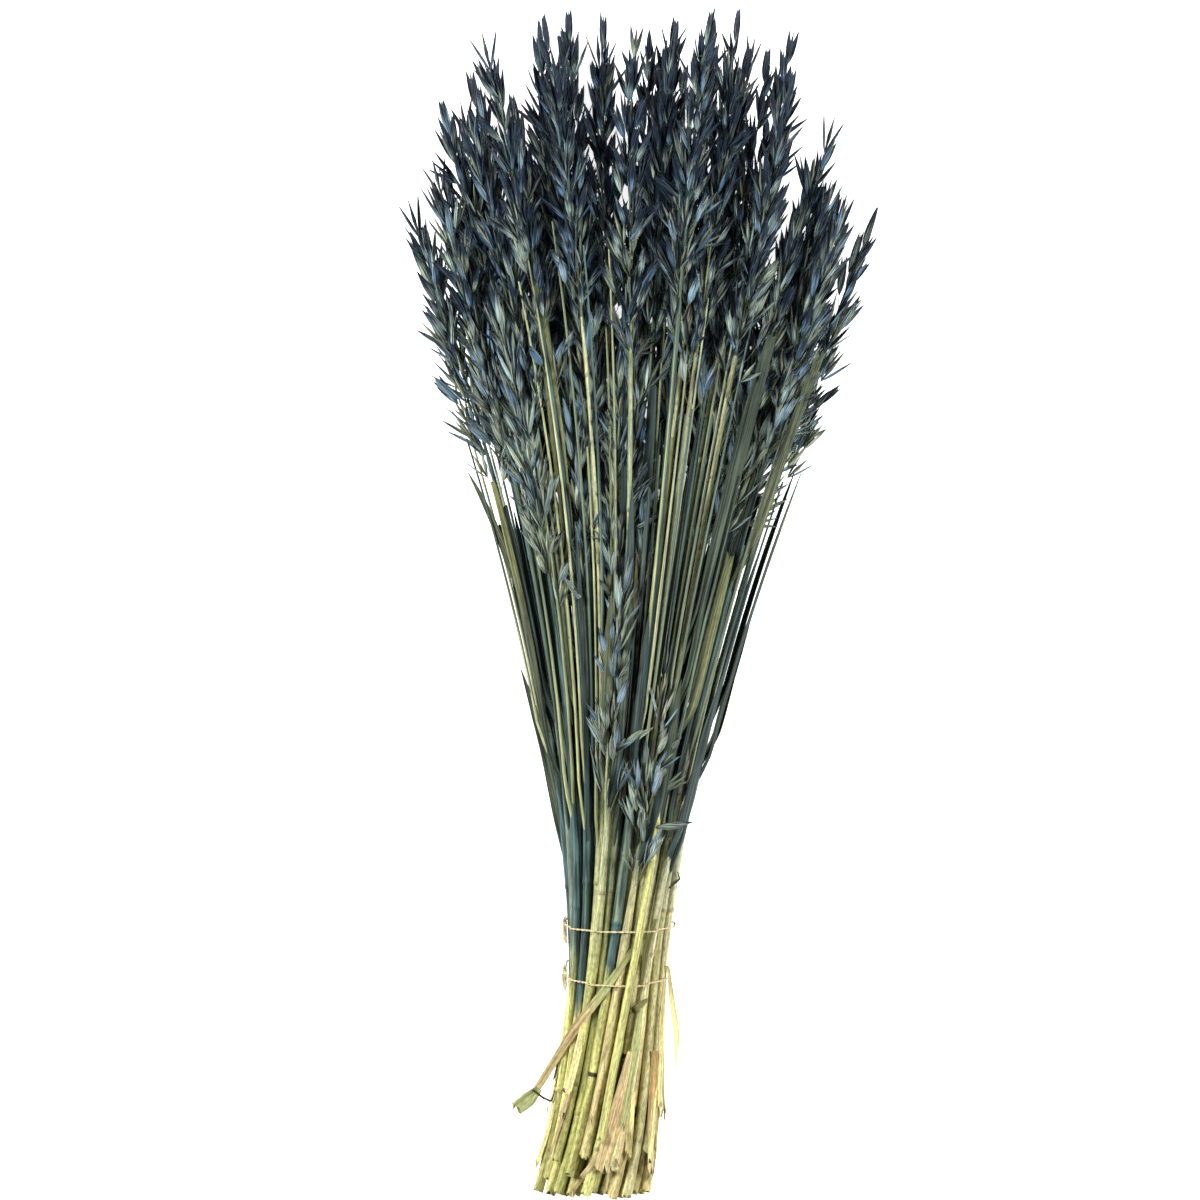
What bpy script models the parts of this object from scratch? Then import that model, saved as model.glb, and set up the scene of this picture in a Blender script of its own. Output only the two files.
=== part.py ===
"""A bunch of dyed, dried oats, tied twice near the foot and lying on its side.

Every oat stem is one grown piece: a straw culm with a hollow cut foot, a leaf blade on half of them, and a
panicle of spikelets along its rachis. The straws cross in a spiral where they are tied, as in any
hand-tied bunch, and fan out to the heads. +Y runs from the cut foot to the heads, +Z is up, and Z = 0 is
the surface on which the bunch lies. A station is a distance along the bunch from its cut foot, and a slot
is a straw's place in the neck, where the bunch is tied.
"""

import math
import random

import bpy
import numpy as np
from mathutils import Vector

MM = 0.001

# The whole bunch
STEM_COUNT = 56
SEED = 23
FOOT_Y = -324.3 * MM
GOLDEN = math.radians(137.5)

# How a slot spreads along the bunch
NECK = 131 * MM
BEND = 40 * MM
WIDEN = 4.2
FAN = 15.0
THICKEN = 3.1
TWIST = 6.0
SPLAY = 1.4
ROLL = 1.6
SAG = 3.1
STRAY = 1.2 * MM
STRAY_REACH = 360 * MM

# How the straws are pressed together in the neck, more from above and below than from the sides
NECK_START = 26 * MM
PRESS = (0.004, 0.0075)
PART_SHARE = 0.3
PRESS_STEPS = 900
SETTLE_STEPS = 300

# The bunch's own axis
FOOT_X = -16.7 * MM
AXIS_LEAN = 0.04
FOOT_KICK = -10 * MM
KICK_EASE = 45 * MM
FOOT_Z = 24.9 * MM
AXIS_RISE = 0.044

# Culms
CULM_RADIUS = (2.3 * MM, 2.75 * MM)
CULM_GAP = 0.32 * MM
CULM_SIDES = 5
CULM_WIDTH_SHARE = math.cos(math.pi / 10)
FOOT_SHARE = 1.1
CULM_STATIONS = [s * MM for s in (90, 145, 215, 320, 430)]
STATION_GAP = 25 * MM
CUT_SPREAD = 26 * MM
BORE_SHARE = 0.58
BORE_DEPTH = 8 * MM

# The crown of the heads
CROWN = 653 * MM
CROWN_X = 9.4 * MM
CROWN_DROP = 100 * MM
CROWN_HALF = (160 * MM, 132 * MM)

# How far a head stays below the crown: most are near it, and a share of the front ones hang low
DROPS = ((0.44, 0, 32 * MM), (0.76, 32 * MM, 120 * MM), (1.0, 120 * MM, 215 * MM))
EDGE_LIFT = 0.85
EDGE_MOST = 1.04
LOW_FRONT = 9 * MM
LOW_RANK = 0.55
LOW_DROP = (270 * MM, 365 * MM)

# Panicles
PANICLE = (145 * MM, 190 * MM)
RACHIS_RADIUS = 1.15 * MM
RACHIS_TIP = 0.8 * MM
RACHIS_ROOT = 7 * MM
SPIKELETS = 20
SPIKELET_LENGTH = (33 * MM, 26 * MM)
SPIKELET_RADIUS = 2.8 * MM
SPIKELET_BELLY = 0.47
SPIKELET_ROOT = 1.5 * MM
LAST_ROOT = 8 * MM
TERMINAL_ROOT = 3 * MM
OPENING = (math.radians(28), math.radians(20))
TRIES = 9
TRY_TURN = math.radians(24)
TRY_CLOSE = 0.05

# Leaves
LEAF_SHARE = 0.55
LEAF_WIDTH = 7.2 * MM
LEAF_THICK = 0.7 * MM
LEAF_LENGTH = (110 * MM, 240 * MM)
LEAF_ROOT = (165 * MM, 260 * MM)
LEAF_RINGS = ((0.0, 0.35), (0.12, 0.8), (0.4, 1.0), (0.75, 0.9), (1.0, 0.25))
LEAF_OFFSETS = [r * MM for r in (3.6, 3.0, 4.4, 2.6, 5.4)]
LEAF_TURNS = [math.radians(a) for a in (0, 25, -25, 50, -50, 80, -80, 120, -120, 165)]
LEAF_TWISTS = [math.radians(a) for a in (90, 60, 120, 30, 150, 0)]
LEAF_EASE = 34 * MM
LEAF_BELOW_TOP = 20 * MM
BLADE_SIDES = (-0.95, -0.5, 0, 0.5, 0.95)

# Dry sheaths that hang back to the foot: way from the axis, root, length, width and how far they bow out
SHEATHS = (
    (math.radians(152), 105 * MM, -60 * MM, 8.5 * MM, 4.2),
    (math.radians(12), 103 * MM, -44 * MM, 5.0 * MM, 1.4),
)
SHEATH_TURN = math.radians(25)

# Ties: station of the middle, how much nearer the foot the front lies, and the knot's direction
TIES = {
    "tie_upper": (148 * MM, 7 * MM, math.radians(176)),
    "tie_lower": (122 * MM, 14 * MM, math.radians(182)),
}
TIE_RADIUS = 0.7 * MM
TIE_SIDES = 4
TIE_CORNERS = 28
TIE_GAP = 0.35 * MM
KNOT_RADIUS = 2.4 * MM
TAIL_LENGTH = 13 * MM

CLEARANCE = 0.45 * MM
SHARP_ANGLE = math.radians(75)

# Colours
STRAW = (0.36, 0.40, 0.17)
DYED = (0.05, 0.10, 0.15)
TWINE = (0.56, 0.45, 0.29)


def smooth(t):
    t = min(max(t, 0.0), 1.0)
    return t * t * (3 - 2 * t)


def mix(a, b, t):
    return a + (b - a) * t


def beyond(station):
    """How far this station lies beyond the neck, eased in over the bend."""
    d = station - NECK
    return (d + math.hypot(d, BEND)) / 2


def across(station):
    """The matrix that carries a slot, (x, z) from the axis in the neck, to its place at this station."""
    d = station - NECK
    out = beyond(station)
    return np.array(
        [
            [1 + SPLAY * (out - d) + WIDEN * out + FAN * out * out, TWIST * d],
            [-TWIST * (d - out) - ROLL * out, 1 + THICKEN * out],
        ]
    )


def place(slot, station):
    """Where slot lies at this station. The sides of the fan sag to the floor."""
    x, z = across(station) @ slot
    axis_x = FOOT_X + AXIS_LEAN * station + FOOT_KICK * math.exp(-station / KICK_EASE)
    axis_z = FOOT_Z + AXIS_RISE * station
    sag = SAG * beyond(station) * x * x
    return Vector((axis_x + x, FOOT_Y + station, axis_z + z - sag))


def segment_distance(p, q, starts, ends):
    """Shortest distances from segment pq to each of the segments from starts to ends."""
    d1, d2, r = q - p, ends - starts, p - starts
    a = d1 @ d1
    e = (d2 * d2).sum(1)
    f = (d2 * r).sum(1)
    b = d2 @ d1
    c = r @ d1
    slant = np.maximum(a * e - b * b, 1e-18)
    s = np.clip((b * f - c * e) / slant, 0, 1)
    t = np.clip((b * s + f) / e, 0, 1)
    s = np.clip((b * t - c) / a, 0, 1)
    apart = (p + s[:, None] * d1) - (starts + t[:, None] * d2)
    return np.sqrt((apart * apart).sum(1))


class Crowd:
    """The room already taken, as capsules: a segment, a radius and an owner."""

    def __init__(self):
        self.rows = np.empty((0, 8))

    def add(self, capsules, owner):
        new = [(*p, *q, r, owner) for p, q, r in capsules]
        self.rows = np.vstack([self.rows, new])

    def clear(self, capsules, owner):
        """Whether these capsules keep clear of the surface below and of every capsule not the owner's."""
        for p, q, r in capsules:
            if min(p[2], q[2]) < r:
                return False
            reach = r + CULM_RADIUS[1] + CLEARANCE
            rows = self.rows[self.rows[:, 7] != owner]
            near = np.minimum(rows[:, 1], rows[:, 4]) < max(p[1], q[1]) + reach
            near &= np.maximum(rows[:, 1], rows[:, 4]) > min(p[1], q[1]) - reach
            rows = rows[near]
            if len(rows) == 0:
                continue
            apart = segment_distance(np.array(p), np.array(q), rows[:, 0:3], rows[:, 3:6])
            if (apart - rows[:, 6] - r).min() < CLEARANCE:
                return False
        return True


class Stem:
    """One oat stem: where it runs, how long it is and how thick."""

    def __init__(self, index, slot, radius):
        self.index = index
        self.slot = slot
        self.radius = radius
        self.rng = random.Random(SEED * 1000 + index)
        turn = self.rng.uniform(0, 2 * math.pi)
        self.stray = np.array([math.cos(turn), math.sin(turn)]) * STRAY * self.rng.uniform(0.3, 1)
        self.cut = CUT_SPREAD * self.rng.random() ** 1.6
        aside = place(slot, CROWN).x - CROWN_X
        edge = min(abs(aside) / CROWN_HALF[aside > 0], EDGE_MOST)
        self.top = CROWN - CROWN_DROP * edge**3 - self.drop(min(edge, 1))
        self.panicle = self.rng.uniform(*PANICLE) * mix(0.45, 1, self.top / CROWN)
        self.base = self.top - self.panicle
        self.tip = self.top - SPIKELET_LENGTH[1] * 0.8
        self.stations = [self.cut]
        self.stations += [s for s in CULM_STATIONS if s < self.base - STATION_GAP]
        self.stations += [self.base, (self.base + self.tip) / 2, self.tip]
        self.points = [self.at(s) for s in self.stations]

    def drop(self, edge):
        """How far the head stays below the crown."""
        rank = self.rng.random()
        if self.slot[1] > LOW_FRONT and rank > LOW_RANK:
            return self.rng.uniform(*LOW_DROP)
        near, far = next((near, far) for upto, near, far in DROPS if rank < upto)
        return self.rng.uniform(near, far) * (1 - EDGE_LIFT * edge**3)

    def at(self, station):
        """The stem's centre at this station."""
        spread = smooth((station - NECK) / STRAY_REACH)
        return place(self.slot + self.stray * spread, station)

    def on_culm(self, station):
        """The centre at this station on the straight runs between the culm's rings."""
        for k in range(len(self.stations) - 1):
            low, high = self.stations[k], self.stations[k + 1]
            if station <= high or k == len(self.stations) - 2:
                return self.points[k].lerp(self.points[k + 1], (station - low) / (high - low))

    def radius_at(self, station):
        """A straw thins slowly from its foot to its panicle, and the rachis goes on to a thin tip."""
        if station > self.base:
            return mix(RACHIS_RADIUS, RACHIS_TIP, (station - self.base) / self.panicle)
        if station < NECK:
            return self.radius * mix(FOOT_SHARE, 1, station / NECK)
        return mix(self.radius, RACHIS_RADIUS, smooth((station - NECK) / (self.base - NECK)) * 0.8)

    def capsules(self):
        radii = [self.radius_at(s) for s in self.stations]
        return list(zip(self.points, self.points[1:], radii))


def part_slots(slots, apart):
    """Move every two slots that are too close by a share of what they lack, each its own way."""
    gaps = slots[:, None] - slots[None]
    lengths = np.sqrt((gaps * gaps).sum(2)) + np.eye(len(slots))
    lack = np.clip(apart - lengths, 0, None)
    return slots + (gaps / lengths[:, :, None] * lack[:, :, None]).sum(1) * PART_SHARE


def press_slots(radii):
    """Slots of straws with these radii, pressed together until each lies against its neighbours."""
    turns = np.arange(STEM_COUNT) * GOLDEN
    reach = NECK_START * np.sqrt((np.arange(STEM_COUNT) + 0.5) / STEM_COUNT)
    slots = np.stack([np.cos(turns) * reach, np.sin(turns) * reach], 1)
    apart = (radii[:, None] + radii[None]) * CULM_WIDTH_SHARE + CULM_GAP
    np.fill_diagonal(apart, 0)
    for _ in range(PRESS_STEPS):
        slots = part_slots(slots * (1 - np.array(PRESS)), apart)
    for _ in range(SETTLE_STEPS):
        slots = part_slots(slots, apart)
    lengths = np.sqrt(((slots[:, None] - slots[None]) ** 2).sum(2)) + np.eye(STEM_COUNT)
    return slots * max(1.0, (apart / lengths).max())


def make_stems():
    rng = random.Random(SEED)
    radii = np.array([rng.uniform(*CULM_RADIUS) for _ in range(STEM_COUNT)])
    slots = press_slots(radii)
    return [Stem(k, slots[k], radii[k]) for k in range(STEM_COUNT)]


class Leaf:
    """A blade that leaves its culm at a node and runs up beside it, in a slot of its own."""

    def __init__(self, stem, offset, twist, root, length, width, bow=0.0):
        self.stem = stem
        self.bow = bow
        self.offset = offset
        self.twist = twist
        self.root = root
        self.length = length
        self.width = width

    def section(self, share, width_share):
        """Centre, half width and half thickness vectors of the blade at this share of its length."""
        station = self.root + self.length * share
        away = smooth(abs(station - self.root) / LEAF_EASE) + self.bow * share * share
        slot = self.stem.slot + self.offset * away
        centre = place(slot, station)
        wide = across(station) @ np.array([math.cos(self.twist), math.sin(self.twist)])
        wide = Vector((wide[0], 0, wide[1])).normalized()
        thick = Vector((-wide.z, 0, wide.x)) * LEAF_THICK / 2
        return centre, wide * self.width * width_share / 2, thick

    def sections(self):
        return [self.section(*ring) for ring in LEAF_RINGS]

    def capsules(self):
        """Five rows of capsules side by side, from where the blade has left its culm."""
        found = []
        sections = self.sections()[1:]
        for (c1, w1, _), (c2, w2, _) in zip(sections, sections[1:]):
            for side in BLADE_SIDES:
                found.append((c1 + w1 * side, c2 + w2 * side, LEAF_THICK * 0.6))
        return found


def find_leaf(stem, crowd):
    """The first free place for a blade beside this stem, with the outward side tried first."""
    rng = stem.rng
    root = rng.uniform(*LEAF_ROOT)
    length = min(rng.uniform(*LEAF_LENGTH), stem.top - LEAF_BELOW_TOP - root)
    width = LEAF_WIDTH * rng.uniform(0.75, 1.08)
    outward = math.atan2(stem.slot[1], stem.slot[0])
    for reach in LEAF_OFFSETS:
        for turn in LEAF_TURNS:
            direction = outward + turn
            offset = np.array([math.cos(direction), math.sin(direction)]) * reach
            for twist in LEAF_TWISTS:
                leaf = Leaf(stem, offset, direction + twist, root, length, width)
                if crowd.clear(leaf.capsules(), stem.index):
                    return leaf
    return None


class Spikelet:
    """A lance that opens from the rachis: its root is sunk in it, its belly is about half way up."""

    def __init__(self, stem, station, length, turn, opening):
        ahead = (stem.on_culm(station + MM) - stem.on_culm(station)).normalized()
        side = ahead.cross(Vector((0, 0, 1))).normalized()
        up = side.cross(ahead)
        out = side * math.cos(turn) + up * math.sin(turn)
        self.along = ahead * math.cos(opening) + out * math.sin(opening)
        self.root = stem.on_culm(station) - self.along * SPIKELET_ROOT
        self.length = length

    def point(self, share):
        return self.root + self.along * self.length * share

    def capsules(self):
        r = SPIKELET_RADIUS
        return [
            (self.point(0.1), self.point(0.3), r * 0.64),
            (self.point(0.3), self.point(0.7), r),
            (self.point(0.7), self.point(1.0), r * 0.57),
        ]


def find_spikelet(stem, k, crowd):
    """The k-th spikelet of this stem, turned or closed until it is clear of everything."""
    share = k / SPIKELETS
    if k == SPIKELETS:
        return Spikelet(stem, stem.tip - TERMINAL_ROOT, SPIKELET_LENGTH[1], 0, 0.02)
    station = mix(stem.base, stem.tip - LAST_ROOT, share)
    length = mix(*SPIKELET_LENGTH, share) * stem.rng.uniform(0.9, 1.06)
    opening = mix(*OPENING, share) * stem.rng.uniform(0.85, 1.15)
    turn = stem.index + math.radians(60 + 120 * k) + stem.rng.uniform(-0.4, 0.4)
    for step in range(TRIES):
        sign = 1 if step % 2 else -1
        shift = sign * TRY_TURN * ((step + 1) // 2)
        closed = opening * (1 - TRY_CLOSE * step)
        spikelet = Spikelet(stem, station, length, turn + shift, closed)
        if crowd.clear(spikelet.capsules(), stem.index):
            return spikelet
    return None


def hanging_sheath(stems, way, root, length, width, bow):
    """A dry sheath that has come away from the outermost culm on that side and bends back to the foot."""
    out = np.array([math.cos(way), math.sin(way)])
    stem = max(stems, key=lambda s: s.slot @ out)
    return Leaf(stem, out * LEAF_OFFSETS[0], way + SHEATH_TURN, root, length, width, bow)


def grow(stems):
    """Blades and spikelets of all stems, each placed clear of what is there already."""
    crowd = Crowd()
    for stem in stems:
        crowd.add(stem.capsules(), stem.index)
    blades = {stem.index: [] for stem in stems}
    for numbers in SHEATHS:
        sheath = hanging_sheath(stems, *numbers)
        blades[sheath.stem.index].append(sheath)
        crowd.add(sheath.capsules(), -1)
    for stem in stems:
        leaf = find_leaf(stem, crowd) if stem.rng.random() < LEAF_SHARE else None
        if leaf:
            blades[stem.index].append(leaf)
            crowd.add(leaf.capsules(), -1)
    spikelets = {stem.index: [] for stem in stems}
    for k in reversed(range(SPIKELETS + 1)):
        for stem in stems:
            spikelet = find_spikelet(stem, k, crowd)
            if spikelet:
                spikelets[stem.index].append(spikelet)
                crowd.add(spikelet.capsules(), -1)
    return blades, spikelets


def add_mesh(name, corners, faces):
    mesh = bpy.data.meshes.new(name)
    mesh.from_pydata([tuple(c) for c in corners], [], faces)
    obj = bpy.data.objects.new(name, mesh)
    bpy.context.scene.collection.objects.link(obj)
    return obj


def ring(centre, along, radius, sides, start=0.0):
    """Corners of a regular polygon square to along."""
    side = along.cross(Vector((0, 0, 1))).normalized()
    up = side.cross(along).normalized()
    turns = [start + 2 * math.pi * k / sides for k in range(sides)]
    return [centre + (side * math.cos(t) + up * math.sin(t)) * radius for t in turns]


def bands(first, second, sides):
    """Quads that join two rings of corners, given the number of each ring's first corner."""
    return [
        (first + k, first + (k + 1) % sides, second + (k + 1) % sides, second + k) for k in range(sides)
    ]


def tube(points, radii, sides, start=0.0):
    """Corners of the rings along a path, and the quads between them."""
    corners = []
    faces = []
    for k, (point, radius) in enumerate(zip(points, radii)):
        behind, ahead = points[max(k - 1, 0)], points[min(k + 1, len(points) - 1)]
        corners += ring(point, (ahead - behind).normalized(), radius, sides, start)
        if k:
            faces += bands((k - 1) * sides, k * sides, sides)
    return corners, faces


def rod(name, points, radii, sides, start=0.0):
    """A tube with a flat end on each side."""
    corners, faces = tube(points, radii, sides, start)
    faces.append(tuple(reversed(range(sides))))
    faces.append(tuple(len(corners) - sides + k for k in range(sides)))
    return add_mesh(name, corners, faces)


def culm(stem):
    """The straw up to its panicle, with a hollow cut foot."""
    sides = CULM_SIDES
    points = stem.points[:-2]
    radii = [stem.radius_at(s) for s in stem.stations[:-2]]
    corners, faces = tube(points, radii, sides)
    faces.append(tuple(len(corners) - sides + k for k in range(sides)))
    rim = len(corners)
    along = (points[1] - points[0]).normalized()
    corners += ring(points[0], along, stem.radius * BORE_SHARE, sides)
    corners.append(points[0] + along * BORE_DEPTH)
    faces += bands(rim, 0, sides)
    faces += [(rim + (k + 1) % sides, rim + k, rim + sides) for k in range(sides)]
    return add_mesh(f"stem_{stem.index + 1:02d}", corners, faces)


def rachis(stem):
    """The panicle's three-sided axis, rooted in the top of the straw."""
    root = stem.on_culm(stem.base - RACHIS_ROOT)
    radii = (RACHIS_RADIUS, mix(RACHIS_RADIUS, RACHIS_TIP, 0.5), RACHIS_TIP)
    return rod("rachis", [root, *stem.points[-2:]], radii, 3, stem.index)


def leaf_blade(leaf):
    """A flat blade of four-cornered sections."""
    corners = []
    faces = []
    for k, (centre, wide, thick) in enumerate(leaf.sections()):
        left, right = centre - wide, centre + wide
        corners += [left - thick, right - thick, right + thick, left + thick]
        if k:
            faces += bands((k - 1) * 4, k * 4, 4)
    last = len(corners) - 4
    faces.append((3, 2, 1, 0))
    faces.append((last, last + 1, last + 2, last + 3))
    return add_mesh("blade", corners, faces)


def lance(spikelet):
    """A three-sided lance, widest at its belly."""
    belly = ring(spikelet.point(SPIKELET_BELLY), spikelet.along, SPIKELET_RADIUS, 3, 0.5)
    corners = [spikelet.point(0), *belly, spikelet.point(1)]
    faces = [(0, 2, 1), (0, 3, 2), (0, 1, 3), (1, 2, 4), (2, 3, 4), (3, 1, 4)]
    return add_mesh("lance", corners, faces)


def face_outward(obj):
    """Turn the faces outward where the mesh has been made inside out."""
    volume = 0.0
    for polygon in obj.data.polygons:
        a, *rest = [obj.data.vertices[v].co for v in polygon.vertices]
        for b, c in zip(rest, rest[1:]):
            volume += a.dot(b.cross(c))
    if volume < 0:
        obj.data.flip_normals()


def join(body, parts):
    """Fuse the parts with the body by one union on their collection."""
    for obj in [body, *parts]:
        face_outward(obj)
    group = bpy.data.collections.new(body.name + "_parts")
    bpy.context.scene.collection.children.link(group)
    for part in parts:
        bpy.context.scene.collection.objects.unlink(part)
        group.objects.link(part)
    union = body.modifiers.new("union", "BOOLEAN")
    union.operation = "UNION"
    union.solver = "EXACT"
    union.operand_type = "COLLECTION"
    union.collection = group
    bpy.context.view_layer.objects.active = body
    bpy.ops.object.modifier_apply(modifier=union.name)
    for part in parts:
        bpy.data.objects.remove(part)
    bpy.data.collections.remove(group)


def paint(obj, name, colour, roughness):
    """Smooth shading over the round forms, and a material of the object's own."""
    obj.data.shade_smooth()
    obj.data.set_sharp_from_angle(angle=SHARP_ANGLE)
    material = bpy.data.materials.new(name)
    material.use_nodes = True
    shader = material.node_tree.nodes["Principled BSDF"]
    shader.inputs["Base Color"].default_value = (*colour, 1)
    shader.inputs["Roughness"].default_value = roughness
    shader.inputs["Metallic"].default_value = 0
    obj.data.materials.clear()
    obj.data.materials.append(material)


def build_stem(stem, blades, spikelets):
    body = culm(stem)
    parts = [rachis(stem), *(lance(s) for s in spikelets), *(leaf_blade(b) for b in blades)]
    join(body, parts)
    tone = stem.rng.uniform(0.15, 0.55)
    colour = [mix(d, s, tone) for d, s in zip(DYED, STRAW)]
    paint(body, body.name, colour, 0.75)
    return body


def tie_corner(stems, middle, tilt, turn):
    """Where the string's centre line passes at this turn round the axis, clear of every culm."""
    station = middle - tilt / 2 * math.sin(turn)
    half = math.pi / TIE_CORNERS
    corner = []
    for side in (turn - half, turn + half):
        out = Vector((math.cos(side), 0, math.sin(side)))
        reach = max(
            stem.on_culm(s).dot(out) + stem.radius_at(s)
            for stem in stems
            for s in (station - 2 * MM, station, station + 2 * MM)
        )
        corner.append((out.x, out.z, reach + TIE_RADIUS + TIE_GAP))
    (a, b, p), (c, d, q) = corner
    det = a * d - b * c
    return Vector(((p * d - q * b) / det, FOOT_Y + station, (a * q - c * p) / det))


def string_ring(name, stems, middle, tilt):
    """The string once round the neck, as a closed tube."""
    turns = [2 * math.pi * k / TIE_CORNERS for k in range(TIE_CORNERS)]
    path = [tie_corner(stems, middle, tilt, turn) for turn in turns]
    corners = []
    faces = []
    for k, point in enumerate(path):
        along = (path[(k + 1) % TIE_CORNERS] - path[k - 1]).normalized()
        side = along.cross(Vector((0, 1, 0))).normalized()
        up = side.cross(along)
        for j in range(TIE_SIDES):
            t = 2 * math.pi * j / TIE_SIDES
            corners.append(point + (side * math.cos(t) + up * math.sin(t)) * TIE_RADIUS)
        faces += bands(k * TIE_SIDES, (k + 1) % TIE_CORNERS * TIE_SIDES, TIE_SIDES)
    return add_mesh(name, corners, faces), path


def build_tie(name, stems, middle, tilt, knot_turn):
    """A string round the neck with a knot and two short tails on its left."""
    body, path = string_ring(name, stems, middle, tilt)
    knot = path[round(knot_turn / (2 * math.pi) * TIE_CORNERS) % TIE_CORNERS]
    out = Vector((math.cos(knot_turn), 0, math.sin(knot_turn)))
    knot = knot + out * (KNOT_RADIUS - TIE_RADIUS / 2)
    ahead = Vector((0, 1, 0))
    lump = [knot + ahead * KNOT_RADIUS * s for s in (-1.1, -0.6, 0.1, 0.7, 1.15)]
    r = KNOT_RADIUS
    parts = [rod("knot", lump, [r * 0.4, r * 0.95, r * 1.0, r * 0.85, r * 0.35], 6)]
    for sign in (-1, 1):
        way = (ahead * sign + out * 0.55).normalized()
        bend = knot + way * TAIL_LENGTH * 0.5
        tail = [knot, bend, bend + (way + Vector((0, 0, 0.5 * sign))).normalized() * TAIL_LENGTH * 0.5]
        parts.append(rod("tail", tail, [TIE_RADIUS] * 3, 4))
    join(body, parts)
    paint(body, name, TWINE, 0.9)
    return body


def main():
    for obj in list(bpy.data.objects):
        bpy.data.objects.remove(obj, do_unlink=True)
    stems = make_stems()
    blades, spikelets = grow(stems)
    root = bpy.data.objects.new("oat_bunch", None)
    bpy.context.scene.collection.objects.link(root)
    bodies = [build_stem(stem, blades[stem.index], spikelets[stem.index]) for stem in stems]
    bodies += [build_tie(name, stems, *numbers) for name, numbers in TIES.items()]
    for body in bodies:
        body.parent = root


main()
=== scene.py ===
"""The looks of a bunch of dyed, dried oats, tied twice near the foot and lying on its side.

Each oat stem of the frame gets one detailed piece that replaces its node: a hollow straw with rings and
sheaths, ribbed leaves, and a panicle of two-glumed spikelets on fine branches. The stems, leaves and
spikelets stand where the frame has them, so the rules that placed them there are repeated here. A station is
a distance along the bunch from its cut foot, and a slot is a straw's place in the neck. A value with a
plural name, such as OPENINGS, is the range by which the value with the single name varies.
"""

import math
import random
from collections import namedtuple

import bpy
import numpy as np
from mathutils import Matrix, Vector


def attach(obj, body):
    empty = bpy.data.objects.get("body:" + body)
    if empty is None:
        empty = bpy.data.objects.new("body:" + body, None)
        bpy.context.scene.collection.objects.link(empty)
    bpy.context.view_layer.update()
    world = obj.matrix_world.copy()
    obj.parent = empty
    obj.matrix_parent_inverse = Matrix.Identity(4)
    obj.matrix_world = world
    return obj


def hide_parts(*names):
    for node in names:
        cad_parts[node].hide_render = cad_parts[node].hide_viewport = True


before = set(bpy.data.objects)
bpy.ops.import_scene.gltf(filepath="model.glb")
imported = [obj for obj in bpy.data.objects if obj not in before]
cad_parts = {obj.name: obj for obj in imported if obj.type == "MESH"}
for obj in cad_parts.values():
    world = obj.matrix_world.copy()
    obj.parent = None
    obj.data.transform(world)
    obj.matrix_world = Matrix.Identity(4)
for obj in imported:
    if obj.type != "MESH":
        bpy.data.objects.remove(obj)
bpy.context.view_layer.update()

MM = 0.001

# The whole bunch
STEM_COUNT = 56
SEED = 23
FOOT_Y = -324.3 * MM
GOLDEN = math.radians(137.5)

# How a slot spreads along the bunch
NECK = 131 * MM
BEND = 40 * MM
WIDEN = 4.2
FAN = 15.0
THICKEN = 3.1
TWIST = 6.0
SPLAY = 1.4
ROLL = 1.6
SAG = 3.1
STRAY = 1.2 * MM
STRAY_LEAST = 0.3
STRAY_REACH = 360 * MM

# How the straws are pressed together in the neck, more from above and below than from the sides
NECK_START = 26 * MM
PRESS = (0.004, 0.0075)
PART_SHARE = 0.3
PRESS_STEPS = 900
SETTLE_STEPS = 300

# The bunch's own axis
FOOT_X = -16.7 * MM
AXIS_LEAN = 0.04
FOOT_KICK = -10 * MM
KICK_EASE = 45 * MM
FOOT_Z = 24.9 * MM
AXIS_RISE = 0.044

# Culms
CULM_RADIUS = (2.3 * MM, 2.75 * MM)
CULM_GAP = 0.32 * MM
CULM_WIDTH_SHARE = math.cos(math.pi / 10)
FOOT_SHARE = 1.1
CULM_STATIONS = [s * MM for s in (90, 145, 215, 320, 430)]
STATION_GAP = 25 * MM
CUT_SPREAD = 26 * MM
CUT_EASE = 1.6
THINNING = 0.8

# The crown of the heads
CROWN = 653 * MM
CROWN_X = 9.4 * MM
CROWN_DROP = 100 * MM
CROWN_HALF = (160 * MM, 132 * MM)

# How far a head stays below the crown: most are near it, and a share of the front ones hang low
DROPS = ((0.44, 0, 32 * MM), (0.76, 32 * MM, 120 * MM), (1.0, 120 * MM, 215 * MM))
EDGE_LIFT = 0.85
EDGE_MOST = 1.04
LOW_FRONT = 9 * MM
LOW_RANK = 0.55
LOW_DROP = (270 * MM, 365 * MM)

# Panicles
PANICLE = (145 * MM, 190 * MM)
LOW_PANICLE = 0.45
TIP_SHARE = 0.8
RACHIS_RADIUS = 1.15 * MM
RACHIS_TIP = 0.8 * MM
LANCES = 20
LANCE_LENGTH = (33 * MM, 26 * MM)
LANCE_LENGTHS = (0.9, 1.06)
LANCE_RADIUS = 2.8 * MM
LANCE_ROOT = 1.5 * MM
LAST_ROOT = 8 * MM
TERMINAL_ROOT = 3 * MM
TERMINAL_OPENING = 0.02
OPENING = (math.radians(28), math.radians(20))
OPENINGS = (0.85, 1.15)
TRIES = 9
TRY_TURN = math.radians(24)
TRY_CLOSE = 0.05

# A lance's turn round its rachis: that of the first and the step to the next, both in degrees, and its play
FIRST_TURN = 60
NEXT_TURN = 120
TURN_PLAY = (-0.4, 0.4)

# The room that a lance takes: between which shares of its length, and how much of its radius
LANCE_ROOM = ((0.1, 0.3, 0.64), (0.3, 0.7, 1.0), (0.7, 1.0, 0.57))

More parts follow.
